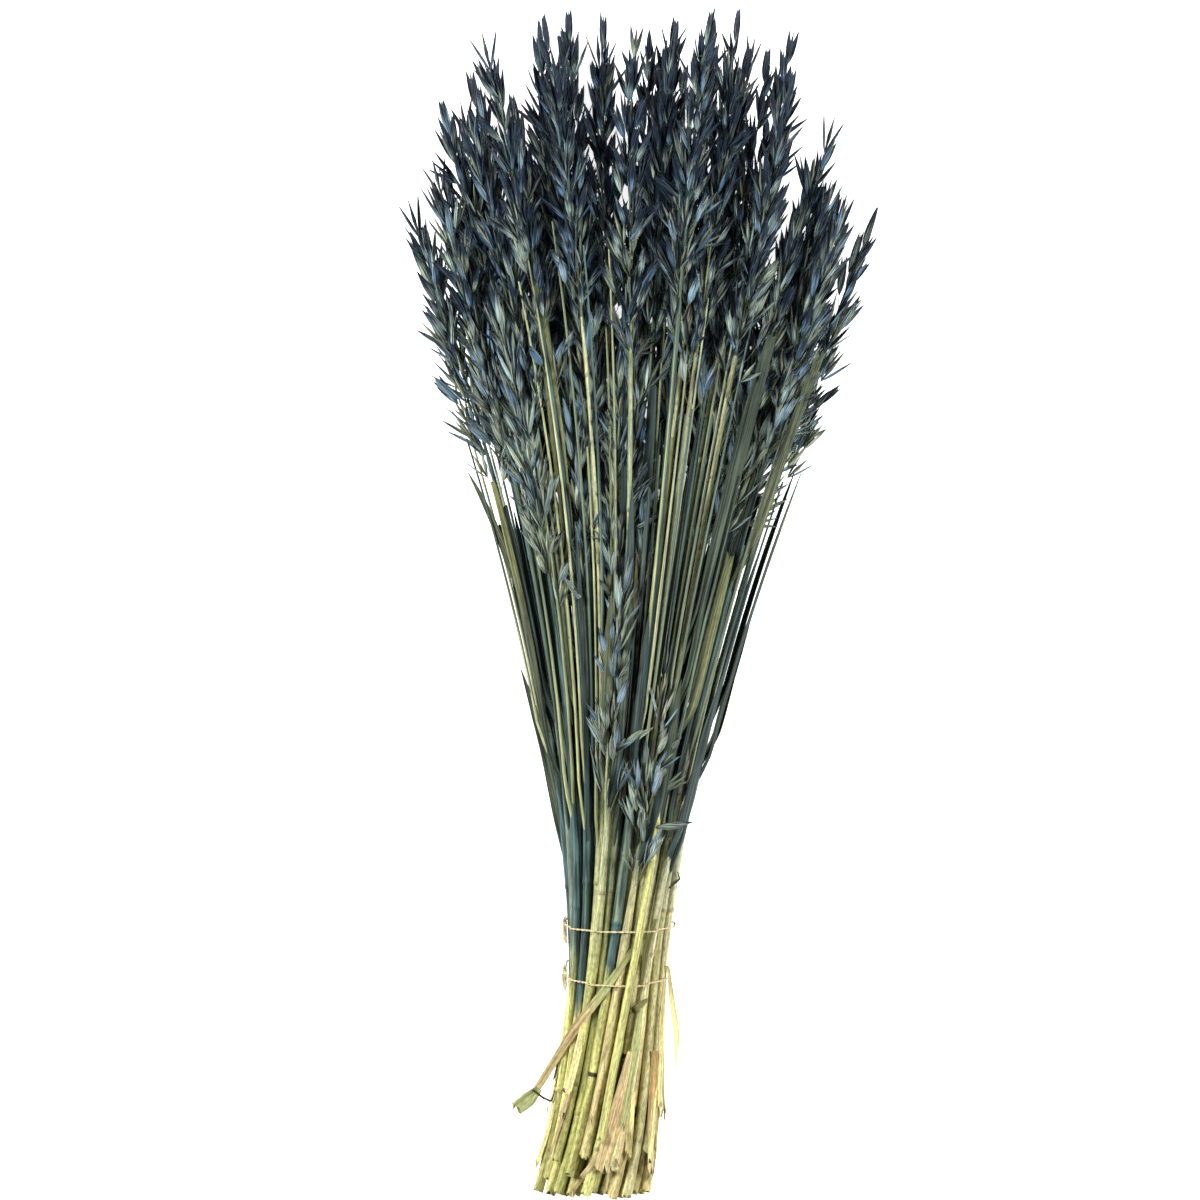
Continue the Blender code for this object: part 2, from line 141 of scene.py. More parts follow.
# Leaves
LEAF_SHARE = 0.55
LEAF_WIDTH = 7.2 * MM
LEAF_WIDTHS = (0.75, 1.08)
LEAF_THICK = 0.7 * MM
LEAF_ROOM = 0.6
LEAF_LENGTH = (110 * MM, 240 * MM)
LEAF_ROOT = (165 * MM, 260 * MM)
LEAF_RINGS = ((0.0, 0.35), (0.12, 0.8), (0.4, 1.0), (0.75, 0.9), (1.0, 0.25))
LEAF_OFFSETS = [r * MM for r in (3.6, 3.0, 4.4, 2.6, 5.4)]
LEAF_TURNS = [math.radians(a) for a in (0, 25, -25, 50, -50, 80, -80, 120, -120, 165)]
LEAF_TWISTS = [math.radians(a) for a in (90, 60, 120, 30, 150, 0)]
LEAF_EASE = 34 * MM
LEAF_BELOW_TOP = 20 * MM
BLADE_SIDES = (-0.95, -0.5, 0, 0.5, 0.95)

# Dry sheaths that hang back to the foot: way from the axis, root, length, width and how far they bow out
SHEATHS = (
    (math.radians(152), 105 * MM, -60 * MM, 8.5 * MM, 4.2),
    (math.radians(12), 103 * MM, -44 * MM, 5.0 * MM, 1.4),
)
SHEATH_TURN = math.radians(25)

# Ties: station of the middle, how much nearer the foot the front lies, and the knot's direction
TIES = {
    "tie_upper": (148 * MM, 7 * MM, math.radians(176)),
    "tie_lower": (122 * MM, 14 * MM, math.radians(182)),
}
TIE_RADIUS = 0.7 * MM
TIE_CORNERS = 28
TIE_GAP = 0.35 * MM
TIE_HALF = 2 * MM

# How clear each thing stays of the others, the owner of things that no stem may touch, and what keeps the
# distance of parallel segments from a division by zero
CLEARANCE = 0.45 * MM
NOBODY = -1
LEAST_SLANT = 1e-18

# Detail of the straws
STRAW_SIDES = 12
STRAW_STEP = 16 * MM
BORE_SHARE = 0.68
BORE_DEPTH = 9 * MM
JAG = 1.6 * MM
SLIM = (0.7, 1.0)
PALE_SLIM = 0.8
SLIM_REACH = 120 * MM

# Rings round the straws. Their rows and the pale stretch below them are counted in half a ring's length.
RING_FIRST = (22 * MM, 80 * MM)
RING_STEP = (80 * MM, 130 * MM)
RING_ROOM = 12 * MM
RING_HALF = 1.2 * MM
RING_ROWS = (-3.4, -3, -1.2, -0.8, 0.8, 1.2)
RING_SWELL = 1.12
RING_EASE = 0.2
RING_SHADE = 0.7
DARK_RINGS = 0.3
PALE_FROM = -3.1
RING_PALER = 0.4

# Sheaths round the straws, and how the tints turn from the foot's to the culm's
SHEATH_COVER = (0.45, 0.95)
SHEATH_RISE = 0.16 * MM
SHEATH_EDGE = 0.3 * MM
OWN_WAY = (0.0, 0.45)
TURNS_FROM = 70 * MM
TURNS_REACH = 190 * MM

# The axis of a head
RACHIS_SIDES = 6
RACHIS_STEPS = 14
RACHIS_END = 0.6
RACHIS_REACH = 6 * MM
RACHIS_DYE = 0.7

# How the straws are dyed: from which station, from left to right, over what reach, and how many in full
DYE_START = (80 * MM, 225 * MM)
DYE_SIDES = (0.3, 0.75)
SIDE_PLAY = (-0.25, 0.25)
DYE_REACH = (30 * MM, 95 * MM)
DYED_SHARE = 0.7
LEAST_DYED = (0, 0.35)
STRAW_DYE = (0.7, 0.95)

# Glumes, two to a spikelet. Their turns are in degrees.
GLUME_LENGTH = (17.5 * MM, 22.5 * MM)
GLUME_WIDTH = 3.5 * MM
GLUME_DEPTH = 1.35 * MM
GLUME_THICK = 0.22 * MM
GLUME_RINGS = (
    (0.0, 0.25), (0.12, 0.7), (0.3, 1.0), (0.5, 0.93), (0.7, 0.68), (0.87, 0.34), (1.0, 0.03),
)
GLUME_TURNS = (-80, -28, 28, 80)
INNER_TURNS = (40, -40)
INNER_WIDTH = 0.8
INNER_LEAST = 0.4
GLUME_BOW = 1.3
GLUME_SPREAD = (math.radians(5), math.radians(21))
SPREAD_EASE = 1.2
SECOND_GLUME = 0.92
GIRTH = (0.85, 1.2)

# The grain between the glumes, and the fine branch that carries them
GRAIN_SIDES = 4
GRAIN_SHARES = (0.05, 0.4, 0.88)
GRAIN_RADII = (0.3 * MM, 1.1 * MM, 0.15 * MM)
BRANCH_SIDES = 3
BRANCH_RADII = [0.28 * MM * share for share in (1, 0.8, 1)]
BRANCH_BOW = 0.25
BRANCH_INTO = 1 * MM

# Spikelets on the frame's lances, those beside some of them, and the one below the uppermost
STALK_AT = 0.05
TIP_CLOSES = 0.9
TIP_PULLED = (0.0, 0.5)
BESIDE_AT = 0.1
BESIDE = 1.7 * MM
BESIDE_SHARE = (1.0, 0.1)
LOW_SPIKELET = 0.9
NEXT_BELOW = 9 * MM
NEXT_ASIDE = 0.5 * MM
NEXT_STALK = 1 * MM
NEXT_LEAN = 0.2

# More spikelets, each on a branch: how many are tried, how they stand, and the room they have
MORE_SPIKELETS = 84
MORE_TRIES = 5
MORE_TURN = 1.3
MORE_UPTO = 0.93
MORE_OPENING = (math.radians(26), math.radians(9))
MORE_OPENINGS = (0.6, 1.2)
MORE_LEAN = (0.4, 1.4)
WILD_SHARE = 0.16
WILD_LEAN = 1.9
MORE_BRANCH = (16 * MM, 2 * MM)
MORE_BRANCHES = (0.4, 1.1)
LEAST_BRANCH = 2 * MM
OFF_RACHIS = 1.4 * MM
STRAGGLERS = 8
STRAGGLER_REACH = 2.5
SPIKELET_ENDS = (0.2, 0.8)
SPIKELET_ROOM = 1.4 * MM
SPIKELET_GAP = -0.35 * MM
CULM_STEPS = 24
MORE_HALF = 125 * MM
MORE_HEIGHT = 98 * MM

# How many of them grow: fewer towards the tip, and fewer between the whorls
FULLNESS = (0.6, 1.1)
THINS_FROM = 0.5
TIP_FULLNESS = 0.38
WHORL = 23 * MM
WHORL_GAP = 0.4

# How the heads nod, and how those at the sides stand out and reach further
NOD_LENGTH = 95 * MM
NOD_ACROSS = 7 * MM
NOD_UP = 2 * MM
SIDE_OUT = 2 * MM
SIDE_CALM = 0.7
SIDE_RISE = 12 * MM

# How far spikelets are dyed, from low heads to the crown, and from their feet to their tips
HEAD_LOW = 250 * MM
HEAD_DYE = (0.0, 0.82)
HEAD_EASE = 1.35
DYE_SPREAD = (-0.3, 0.3)
TIP_DYE = 1.2
TIP_FROM = 0.45

# Detail of the leaves
BLADE_STEPS = 26
BLADE_COLUMNS = 7
BLADE_THICK = 0.4 * MM
BLADE_RINGS = ((0.0, 0.45), (0.12, 0.8), (0.4, 1.0), (0.75, 0.85), (0.9, 0.5), (1.0, 0.06))
TORN_RINGS = ((0.0, 0.45), (0.12, 0.8), (0.4, 1.0), (0.9, 0.92), (1.0, 0.75))
TORN_SHARE = 0.3
TEAR = 3 * MM
BLADE_CREASE = (0.1, 0.8)
BLADE_CURL = 0.75
CURL_SHARE = 0.25
WAVE = 0.08
WAVES = (8, 20)
WAVE_STARTS = (0, 6)
LEAF_DYE = (0.2, 1.0)

# More leaves, and thin side shoots
MORE_CLEARANCE = 0.5
MORE_LEAVES = 3
MORE_LENGTH = (90 * MM, 230 * MM)
MORE_WIDTHS = (0.35, 0.95)
SHOOTS = 3
SHOOT_HALF = 100 * MM
SHOOT_LENGTH = (170 * MM, 330 * MM)
SHOOT_RADIUS = (1.0 * MM, 0.5 * MM)
SHOOT_SIDES = 8
SHOOT_STEPS = 18
SHOOT_DYE = (0.0, 0.9)
SHOOT_BELOW_TOP = 95 * MM

# Leaves that stand off at a side, or lie in front: across, whether in front, root, length, width, how far
# off they start, how far they bow out and how far they are dyed
STRAY_LEAVES = (
    (-130 * MM, False, 312 * MM, 84 * MM, 4.5 * MM, 1.5 * MM, 2.4, 0.5),
    (-75 * MM, False, 176 * MM, 112 * MM, 6.0 * MM, 1.6 * MM, 2.2, 0.6),
    (70 * MM, False, 238 * MM, 56 * MM, 4.0 * MM, 1.6 * MM, 2.0, 0.6),
    (-56 * MM, True, 330 * MM, 190 * MM, 9.0 * MM, 4.5 * MM, 0.3, 0.25),
    (32 * MM, True, 290 * MM, 180 * MM, 7.0 * MM, 4.0 * MM, 0.3, 0.6),
    (62 * MM, True, 330 * MM, 130 * MM, 6.5 * MM, 4.0 * MM, 0.3, 0.55),
)
STRAY_TURNS = (math.radians(35), math.radians(-12))
STRAY_NEAR = 2

# Detail of the strings
STRAND_RADIUS = 0.29 * MM
STRAND_OFFSET = 0.25 * MM
STRAND_PITCH = 3.1 * MM
STRAND_STEPS = 640
STRAND_SIDES = 5

# The knot, and the fibres that lie beside it: how many point away from the foot, and how all of them run
KNOT_OUT = 0.1 * MM
KNOT_REACH = 0.9 * MM
KNOT_LENGTH = 3.4 * MM
KNOT_TURNS = 3.2
KNOT_STEPS = 60
KNOT_SIDES = 7
KNOT_THICKER = 1.6
FIBRES = 120
FIBRES_UP = 0.2
FIBRE_SIDES = 3
FIBRE_RADIUS = 0.1 * MM
FIBRE_END = 0.3
FIBRE_LENGTH = 13 * MM
FIBRE_LENGTHS = (0.25, 1.1)
FIBRE_UP_LENGTH = 0.4
FIBRE_AWAY = (-0.04, 0.12)
FIBRE_RISE = (-0.3, 0.4)
FIBRE_START = 0.7 * MM
FIBRE_BEND = 0.16
FIBRE_BENDS = ((-1, 0.3), (-0.3, 0.3), (-1, 1))
FIBRE_SHARES = (0, 0.25, 0.5, 0.75, 1)
FIBRE_WAVES = 4.0

# Meshes and marks
SHARP_ANGLE = math.radians(50)
PRESSED_BELOW = 1.5 * MM
PRESSED_ABOVE = 101 * MM
MARK_LENGTH = 100 * MM
MARK_COUNT = 7
LOOK_STRAW, LOOK_GLUME, LOOK_LEAF, LOOK_SHEATH = range(4)
LOOK_TWINE = 0

# How much brighter the light makes the bunch than even light on white paper would
BRIGHTNESS = 1.25


def seen(red, green, blue):
    """A colour as it looks on a screen under this scene's light, 0 to 255, turned into linear values."""
    shares = (c / 255 for c in (red, green, blue))
    return tuple((s / 12.92 if s < 0.04 else ((s + 0.055) / 1.055) ** 2.4) / BRIGHTNESS for s in shares)


# Colours
FOOT_TAN = (
    seen(220, 212, 148), seen(212, 198, 136), seen(206, 188, 130), seen(226, 216, 158), seen(198, 190, 122),
)
FOOT_GREEN = (seen(186, 184, 108), seen(162, 164, 90), seen(200, 198, 124), seen(174, 174, 100))
FOOT_STRAWS = FOOT_TAN + FOOT_GREEN
CULMS = (
    seen(148, 156, 112), seen(172, 178, 128), seen(122, 132, 96), seen(104, 116, 94), seen(188, 190, 146),
    seen(164, 174, 148), seen(90, 98, 68),
)
STRAW_DYED = seen(60, 82, 80)
RING_DARK = seen(72, 66, 36)
RING_PALE = seen(226, 214, 160)
LEAVES = (
    seen(96, 102, 68), seen(80, 90, 68), seen(116, 118, 78), seen(98, 90, 58), seen(90, 106, 88),
    seen(140, 140, 90), seen(62, 68, 48),
)
LEAF_DYED = seen(44, 58, 56)
GLUMES_LOW = (seen(162, 184, 182), seen(158, 174, 154), seen(134, 160, 176), seen(176, 186, 164))
GLUMES_HIGH = (seen(132, 162, 178), seen(110, 142, 172), seen(158, 178, 172), seen(144, 164, 154))
GLUME_DYED = seen(19, 31, 44)
GRAIN = seen(150, 156, 130)
SHEATH_TAN = seen(210, 190, 136)
SHEATH_PINK = seen(200, 174, 126)
SHEATH_BROWN = seen(184, 154, 98)
SHEATH_GREEN = seen(168, 174, 116)
SHEATH_YELLOW = seen(228, 216, 150)
SHEATH_OLIVE = seen(124, 122, 72)
HOOK_DARK = seen(62, 60, 48)
TWINE = seen(236, 222, 182)
TWINE_DARK = seen(190, 170, 122)
STRAY_TINTS = (LEAVES[2], LEAVES[0])
BRANCH_TINT = CULMS[0]
EDGE_TINT = GLUMES_LOW[0]
LOOSE_TINT = FOOT_GREEN[2]

# Noise and dye on all plants: shine, bump, how far the noise differs from part to part, how softly dye ends
SHEEN = 0.25
BUMP = 0.7
TONE_SHIFT = 97.0
DYE_EDGE = 0.3
NOISE_DETAIL = 2.0
FINE_DETAIL = 3.0

# Straws, leaves and sheaths: roughness, fine lines across and along, colour of the dye
FIBRE_LOOKS = {
    "dry_straw": (0.6, 5.0, 4.0, STRAW_DYED),
    "dry_leaf": (0.7, 3.5, 3.0, LEAF_DYED),
    "dry_sheath": (0.7, 3.5, 3.0, SHEATH_BROWN),
}
BROAD = (4, 5)
FLECKS = (2, 9)
FIBRE_DEPTH = 0.35 * MM

# How the noise lightens them: between which values, and by which factors there
FINE_LIGHT = (0.35, 0.65, 0.68, 1.25)
BROAD_LIGHT = (0.3, 0.7, 0.82, 1.12)
FLECK_LIGHT = (0.4, 0.66, 1.15, 0.68)
DYED_LIGHT = (0.35, 0.7, 0.5, 2.4)

# Glumes: roughness, lines across and along, ribs and their depth, and how all of it lightens them
GLUME_ROUGHNESS = 0.5
GLUME_LINES = (2.6, 1.8)
RIBS = 11.0
RIB_DEPTH = 0.3 * MM
LINE_LIGHT = (0.3, 0.7, 0.5, 1.3)
TONE_LIGHT = (0.0, 1.0, 0.6, 1.3)
RIB_LIGHT = (-1.0, 1.0, 0.75, 1.15)
GLUME_EDGE = (0.75, 1.0, 0.0, 0.45)
GLUME_DYED_LIGHT = (0.3, 0.75, 0.6, 3.4)

# Twine: roughness, lines across and along, their depth and how sharply they part its two colours
TWINE_ROUGHNESS = 0.85
TWINE_LINES = (6.0, 300.0)
TWINE_DEPTH = 0.15 * MM
TWINE_PARTS = (0.3, 0.65)

# The floor
FLOOR = (0.9, 0.9, 0.9)
FLOOR_GLOW = 0.85
FLOOR_ROUGHNESS = 0.9
FLOOR_HALF = 3.0

# The photograph's framing: what its middle and its width show, in the frame's units
VIEW_X = -21.7 * MM
VIEW_Y = 1.2 * MM
VIEW_WIDTH = 655 * MM
VIEW_LEVEL = 45 * MM
CAMERA_HEIGHT = 4.2

# Loose sheaths at the foot, in millimetres: points as across, station and height, widths and tints from end
# to end, and whether the far end is torn. A point without a height lies on the straws.
STRIPS = (
    (
        ((-3.1, 136), (-18.9, 113), (-34.2, 93.4), (-44.1, 77, 28.5), (-56.6, 56.8, 24.5)),
        (3.0, 4.5, 5.0, 4.5, 4.0),
        (SHEATH_OLIVE, SHEATH_GREEN, SHEATH_PINK, SHEATH_TAN, SHEATH_TAN),
        False,
    ),
    (((-54.9, 58, 25), (-60.4, 52, 23.5), (-67.9, 46, 22)), (4.5, 8.5, 8.0), (SHEATH_GREEN,) * 3, True),
    (((-4.2, 80), (-11.9, 47.5), (-20.9, 14)), (4.5, 8.0, 8.5), (SHEATH_TAN, SHEATH_PINK, SHEATH_TAN), True),
    (((8.3, 80), (7.3, 55), (6.3, 32)), (3.5, 5.0, 4.5), (SHEATH_BROWN, SHEATH_BROWN, SHEATH_TAN), True),
    (((7.6, 34), (6.7, 22), (5.9, 8)), (4.5, 5, 0.8), (SHEATH_GREEN,) * 3, False),
    (((-3.9, 58), (-5.3, 40), (-6.4, 22)), (3.0, 4.2, 3.6), (SHEATH_YELLOW,) * 3, True),
    (((-20, 26), (-30, 12), (-37.5, 1)), (2.4, 3.6, 1.6), (SHEATH_TAN,) * 3, True),
    (((4.5, 108), (-0.9, 103.5), (-5.4, 100.5)), (1.5, 4.5, 2.5), (SHEATH_OLIVE,) * 3, False),
    (((8.9, 152), (3.4, 136), (1.2, 118)), (1.5, 4.0, 1.2), (SHEATH_OLIVE,) * 3, False),
    (
        ((12.1, 124.5, 36), (15.6, 124.8, 37), (17.1, 111, 37.5), (20.5, 87, 39.5), (19.3, 69, 42)),
        (1.2, 1.5, 2.8, 3.4, 0.6),
        (SHEATH_YELLOW,) * 5,
        False,
    ),
    (
        ((-58.8, 57, 25.5), (-52.9, 52.5, 25), (-48.4, 50.5, 25.5), (-46.3, 57, 26)),
        (1.0, 1.2, 1.0, 0.6),
        (HOOK_DARK,) * 4,
        False,
    ),
    (
        ((-38.9, 84, 28), (-42.9, 76, 27), (-47.4, 62, 26)),
        (1.5, 3, 0.5),
        (SHEATH_OLIVE, SHEATH_OLIVE, HOOK_DARK),
        False,
    ),
    (((16.1, 168), (22, 173, 36), (20.6, 177, 37)), (1.2, 1.0, 0.5), (HOOK_DARK,) * 3, False),
)

STRIP_STEPS = 28
STRIP_LIFT = 0.35 * MM
STRIP_CREASE = (-0.15, 0.35)
EASING = (0.1, 0.2, 0.4, 0.2, 0.1)

# Torn sheaths all round the foot: how many, where they end and how long, wide, bowed and creased they are
DRY_SHEATHS = 26
DRY_ROOT = (4 * MM, 60 * MM)
DRY_LENGTH = (30 * MM, 70 * MM)
DRY_HALF = 3.2 * MM
DRY_WIDTHS = (0.5, 1)
DRY_LIFT = 2.5 * MM
DRY_CREASE = (-0.5, -0.9)
DRY_TINTS = (
    SHEATH_TAN, SHEATH_PINK, SHEATH_BROWN, SHEATH_GREEN, SHEATH_YELLOW, SHEATH_OLIVE, FOOT_STRAWS[2],
)

# How their width runs: its share at their tip, where it is full, and its share at their foot
DRY_TIP = 0.4
DRY_FULL = 0.3
DRY_FOOT = (0.2, 1)

# The loose straw over both strings, from its hidden end to its cut
LOOSE_STRAW = ((12.1, 225), (6.7, 184), (0.2, 146), (-5.3, 116), (-15.7, 62), (-21.4, 30))
LOOSE_RADIUS = 2.4 * MM
LOOSE_END = 0.7
LOOSE_STEPS = 60
LOOSE_MARKS = 1.6
STRING_RISE = 1.2 * MM
STRING_RAMP = 12 * MM

# Lights: place, size and power
WORLD_LIGHT = 0.15
LIGHTS = {
    "key": ((-1.7, 0.7, 1.5), 1.0, 98),
    "fill": ((1.7, 0.2, 1.5), 1.0, 66),
}


def smooth(t):
    t = min(max(t, 0.0), 1.0)
    return t * t * (3 - 2 * t)


def mix(a, b, t):
    return a + (b - a) * t


def heading(turn):
    """The direction at this turn in the plane across the bunch, as (x, z)."""
    return np.array([math.cos(turn), math.sin(turn)])


def facing(turn):
    """The same direction in space."""
    return Vector((math.cos(turn), 0, math.sin(turn)))


def swung(a, b, angle):
    """The direction at this angle from a towards b, which are square to each other."""
    return a * math.cos(angle) + b * math.sin(angle)


def square_to(ahead, turn):
    """The direction square to ahead at this turn round it, counted from its level side."""
    side = ahead.cross(Vector((0, 0, 1))).normalized()
    return swung(side, side.cross(ahead), turn)


def beyond(station):
    """How far this station lies beyond the neck, eased in over the bend."""
    d = station - NECK
    return (d + math.hypot(d, BEND)) / 2


def across(station):
    """The matrix that carries a slot, (x, z) from the axis in the neck, to its place at this station."""
    d = station - NECK
    out = beyond(station)
    return np.array(
        [
            [1 + SPLAY * (out - d) + WIDEN * out + FAN * out * out, TWIST * d],
            [-TWIST * (d - out) - ROLL * out, 1 + THICKEN * out],
        ]
    )


def place(slot, station):
    """Where slot lies at this station. The sides of the fan sag to the floor."""
    x, z = across(station) @ slot
    axis_x = FOOT_X + AXIS_LEAN * station + FOOT_KICK * math.exp(-station / KICK_EASE)
    axis_z = FOOT_Z + AXIS_RISE * station
    sag = SAG * beyond(station) * x * x
    return Vector((axis_x + x, FOOT_Y + station, axis_z + z - sag))


def segment_distance(p, q, starts, ends):
    """Shortest distances from segment pq to each of the segments from starts to ends."""
    d1, d2, r = q - p, ends - starts, p - starts
    a = d1 @ d1
    e = (d2 * d2).sum(1)
    f = (d2 * r).sum(1)
    b = d2 @ d1
    c = r @ d1
    slant = np.maximum(a * e - b * b, LEAST_SLANT)
    s = np.clip((b * f - c * e) / slant, 0, 1)
    t = np.clip((b * s + f) / e, 0, 1)
    s = np.clip((b * t - c) / a, 0, 1)
    apart = (p + s[:, None] * d1) - (starts + t[:, None] * d2)
    return np.sqrt((apart * apart).sum(1))


class Crowd:
    """The room already taken, as capsules: a segment, a radius and an owner."""

    def __init__(self, gap):
        self.gap = gap
        self.rows = np.empty((0, 8))

    def add(self, capsules, owner=NOBODY):
        new = [(*p, *q, r, owner) for p, q, r in capsules]
        self.rows = np.vstack([self.rows, new])

    def keep(self, thing, things):
        """Note the room of something new, if there is one, and add it to the others of its kind."""
        if thing:
            things.append(thing)
            self.add(thing.capsules())

    def clear(self, capsules, owner):
        """Whether these capsules keep clear of the surface below and of every capsule not the owner's."""
        for p, q, r in capsules:
            if min(p[2], q[2]) < r:
                return False
            reach = r + CULM_RADIUS[1] + CLEARANCE
            rows = self.rows[self.rows[:, 7] != owner]
            near = np.minimum(rows[:, 1], rows[:, 4]) < max(p[1], q[1]) + reach
            near &= np.maximum(rows[:, 1], rows[:, 4]) > min(p[1], q[1]) - reach
            rows = rows[near]
            if len(rows) == 0:
                continue
            apart = segment_distance(np.array(p), np.array(q), rows[:, 0:3], rows[:, 3:6])
            if (apart - rows[:, 6] - r).min() < self.gap:
                return False
        return True


class Stem:
    """One oat stem: where it runs, how long it is and how thick."""

    def __init__(self, index, slot, radius):
        self.index = index
        self.slot = slot
        self.radius = radius
        self.rng = random.Random(SEED * 1000 + index)
        turn = self.rng.uniform(0, 2 * math.pi)
        self.stray = heading(turn) * STRAY * self.rng.uniform(STRAY_LEAST, 1)
        self.cut = CUT_SPREAD * self.rng.random() ** CUT_EASE
        aside = place(slot, CROWN).x - CROWN_X
        edge = min(abs(aside) / CROWN_HALF[aside > 0], EDGE_MOST)
        self.top = CROWN - CROWN_DROP * edge**3 - self.drop(min(edge, 1))
        self.panicle = self.rng.uniform(*PANICLE) * mix(LOW_PANICLE, 1, self.top / CROWN)
        self.base = self.top - self.panicle
        self.tip = self.top - LANCE_LENGTH[1] * TIP_SHARE
        self.stations = [self.cut]
        self.stations += [s for s in CULM_STATIONS if s < self.base - STATION_GAP]
        self.stations += [self.base, (self.base + self.tip) / 2, self.tip]
        self.points = [self.at(s) for s in self.stations]

    def drop(self, edge):
        """How far the head stays below the crown."""
        rank = self.rng.random()
        if self.slot[1] > LOW_FRONT and rank > LOW_RANK:
            return self.rng.uniform(*LOW_DROP)
        near, far = next((near, far) for upto, near, far in DROPS if rank < upto)
        return self.rng.uniform(near, far) * (1 - EDGE_LIFT * edge**3)

    def at(self, station):
        """The stem's centre at this station."""
        spread = smooth((station - NECK) / STRAY_REACH)
        return place(self.slot + self.stray * spread, station)

    def on_culm(self, station):
        """The centre at this station on the straight runs between the frame's rings."""
        for k in range(len(self.stations) - 1):
            low, high = self.stations[k], self.stations[k + 1]
            if station <= high or k == len(self.stations) - 2:
                return self.points[k].lerp(self.points[k + 1], (station - low) / (high - low))

    def radius_at(self, station):
        """A straw thins slowly from its foot to its panicle, and the rachis goes on to a thin tip."""
        if station > self.base:
            return mix(RACHIS_RADIUS, RACHIS_TIP, (station - self.base) / self.panicle)
        if station < NECK:
            return self.radius * mix(FOOT_SHARE, 1, station / NECK)
        return mix(self.radius, RACHIS_RADIUS, smooth((station - NECK) / (self.base - NECK)) * THINNING)

    def capsules(self):
        radii = [self.radius_at(s) for s in self.stations]
        return list(zip(self.points, self.points[1:], radii))


def part_slots(slots, apart):
    """Move every two slots that are too close by a share of what they lack, each its own way."""
    gaps = slots[:, None] - slots[None]
    lengths = np.sqrt((gaps * gaps).sum(2)) + np.eye(len(slots))
    lack = np.clip(apart - lengths, 0, None)
    return slots + (gaps / lengths[:, :, None] * lack[:, :, None]).sum(1) * PART_SHARE


def press_slots(radii):
    """Slots of straws with these radii, pressed together until each lies against its neighbours."""
    turns = np.arange(STEM_COUNT) * GOLDEN
    reach = NECK_START * np.sqrt((np.arange(STEM_COUNT) + 0.5) / STEM_COUNT)
    slots = np.stack([np.cos(turns) * reach, np.sin(turns) * reach], 1)
    apart = (radii[:, None] + radii[None]) * CULM_WIDTH_SHARE + CULM_GAP
    np.fill_diagonal(apart, 0)
    for _ in range(PRESS_STEPS):
        slots = part_slots(slots * (1 - np.array(PRESS)), apart)
    for _ in range(SETTLE_STEPS):
        slots = part_slots(slots, apart)
    lengths = np.sqrt(((slots[:, None] - slots[None]) ** 2).sum(2)) + np.eye(STEM_COUNT)
    return slots * max(1.0, (apart / lengths).max())


def make_stems():
    rng = random.Random(SEED)
    radii = np.array([rng.uniform(*CULM_RADIUS) for _ in range(STEM_COUNT)])
    slots = press_slots(radii)
    return [Stem(k, slots[k], radii[k]) for k in range(STEM_COUNT)]


class Leaf:
    """A blade that leaves its culm at a node and runs up beside it, in a slot of its own."""

    def __init__(self, stem, offset, twist, root, length, width, bow=0.0):
        self.stem = stem
        self.bow = bow
        self.dye = None
        self.offset = offset
        self.twist = twist
        self.root = root
        self.length = length
        self.width = width

    def section(self, share, width_share):
        """Centre, half width and half thickness vectors of the blade at this share of its length."""
        station = self.root + self.length * share
        away = smooth(abs(station - self.root) / LEAF_EASE) + self.bow * share * share
        slot = self.stem.slot + self.offset * away
        centre = place(slot, station)
        wide = across(station) @ heading(self.twist)
        wide = Vector((wide[0], 0, wide[1])).normalized()
        thick = Vector((-wide.z, 0, wide.x)) * LEAF_THICK / 2
        return centre, wide * self.width * width_share / 2, thick

    def capsules(self):
        """Five rows of capsules side by side, from where the blade has left its culm."""
        found = []
        sections = [self.section(*ring) for ring in LEAF_RINGS[1:]]
        for (c1, w1, _), (c2, w2, _) in zip(sections, sections[1:]):
            for side in BLADE_SIDES:
                found.append((c1 + w1 * side, c2 + w2 * side, LEAF_THICK * LEAF_ROOM))
        return found


def find_leaf(stem, crowd, rng, kind=Leaf, lengths=LEAF_LENGTH, widths=LEAF_WIDTHS, away=0.0):
    """The first free place for a blade beside this stem, with the outward side tried first."""
    root = rng.uniform(*LEAF_ROOT)
    length = min(rng.uniform(*lengths), stem.top - LEAF_BELOW_TOP - root)
    width = LEAF_WIDTH * rng.uniform(*widths)
    outward = math.atan2(stem.slot[1], stem.slot[0]) + away
    for reach in LEAF_OFFSETS:
        for turn in LEAF_TURNS:
            direction = outward + turn
            offset = heading(direction) * reach
            for twist in LEAF_TWISTS:
                leaf = kind(stem, offset, direction + twist, root, length, width)
                if crowd.clear(leaf.capsules(), stem.index):
                    return leaf
    return None


class Lance:
    """The frame's stand-in for a spikelet and its stalk: it opens from the rachis, its root sunk in it."""

    def __init__(self, stem, station, length, turn, opening):
        ahead = (stem.on_culm(station + MM) - stem.on_culm(station)).normalized()
        self.out = square_to(ahead, turn)
        self.along = swung(ahead, self.out, opening)
        self.root = stem.on_culm(station) - self.along * LANCE_ROOT
        self.length = length

    def point(self, share):
        return self.root + self.along * self.length * share

    def capsules(self):
        return [(self.point(a), self.point(b), LANCE_RADIUS * width) for a, b, width in LANCE_ROOM]


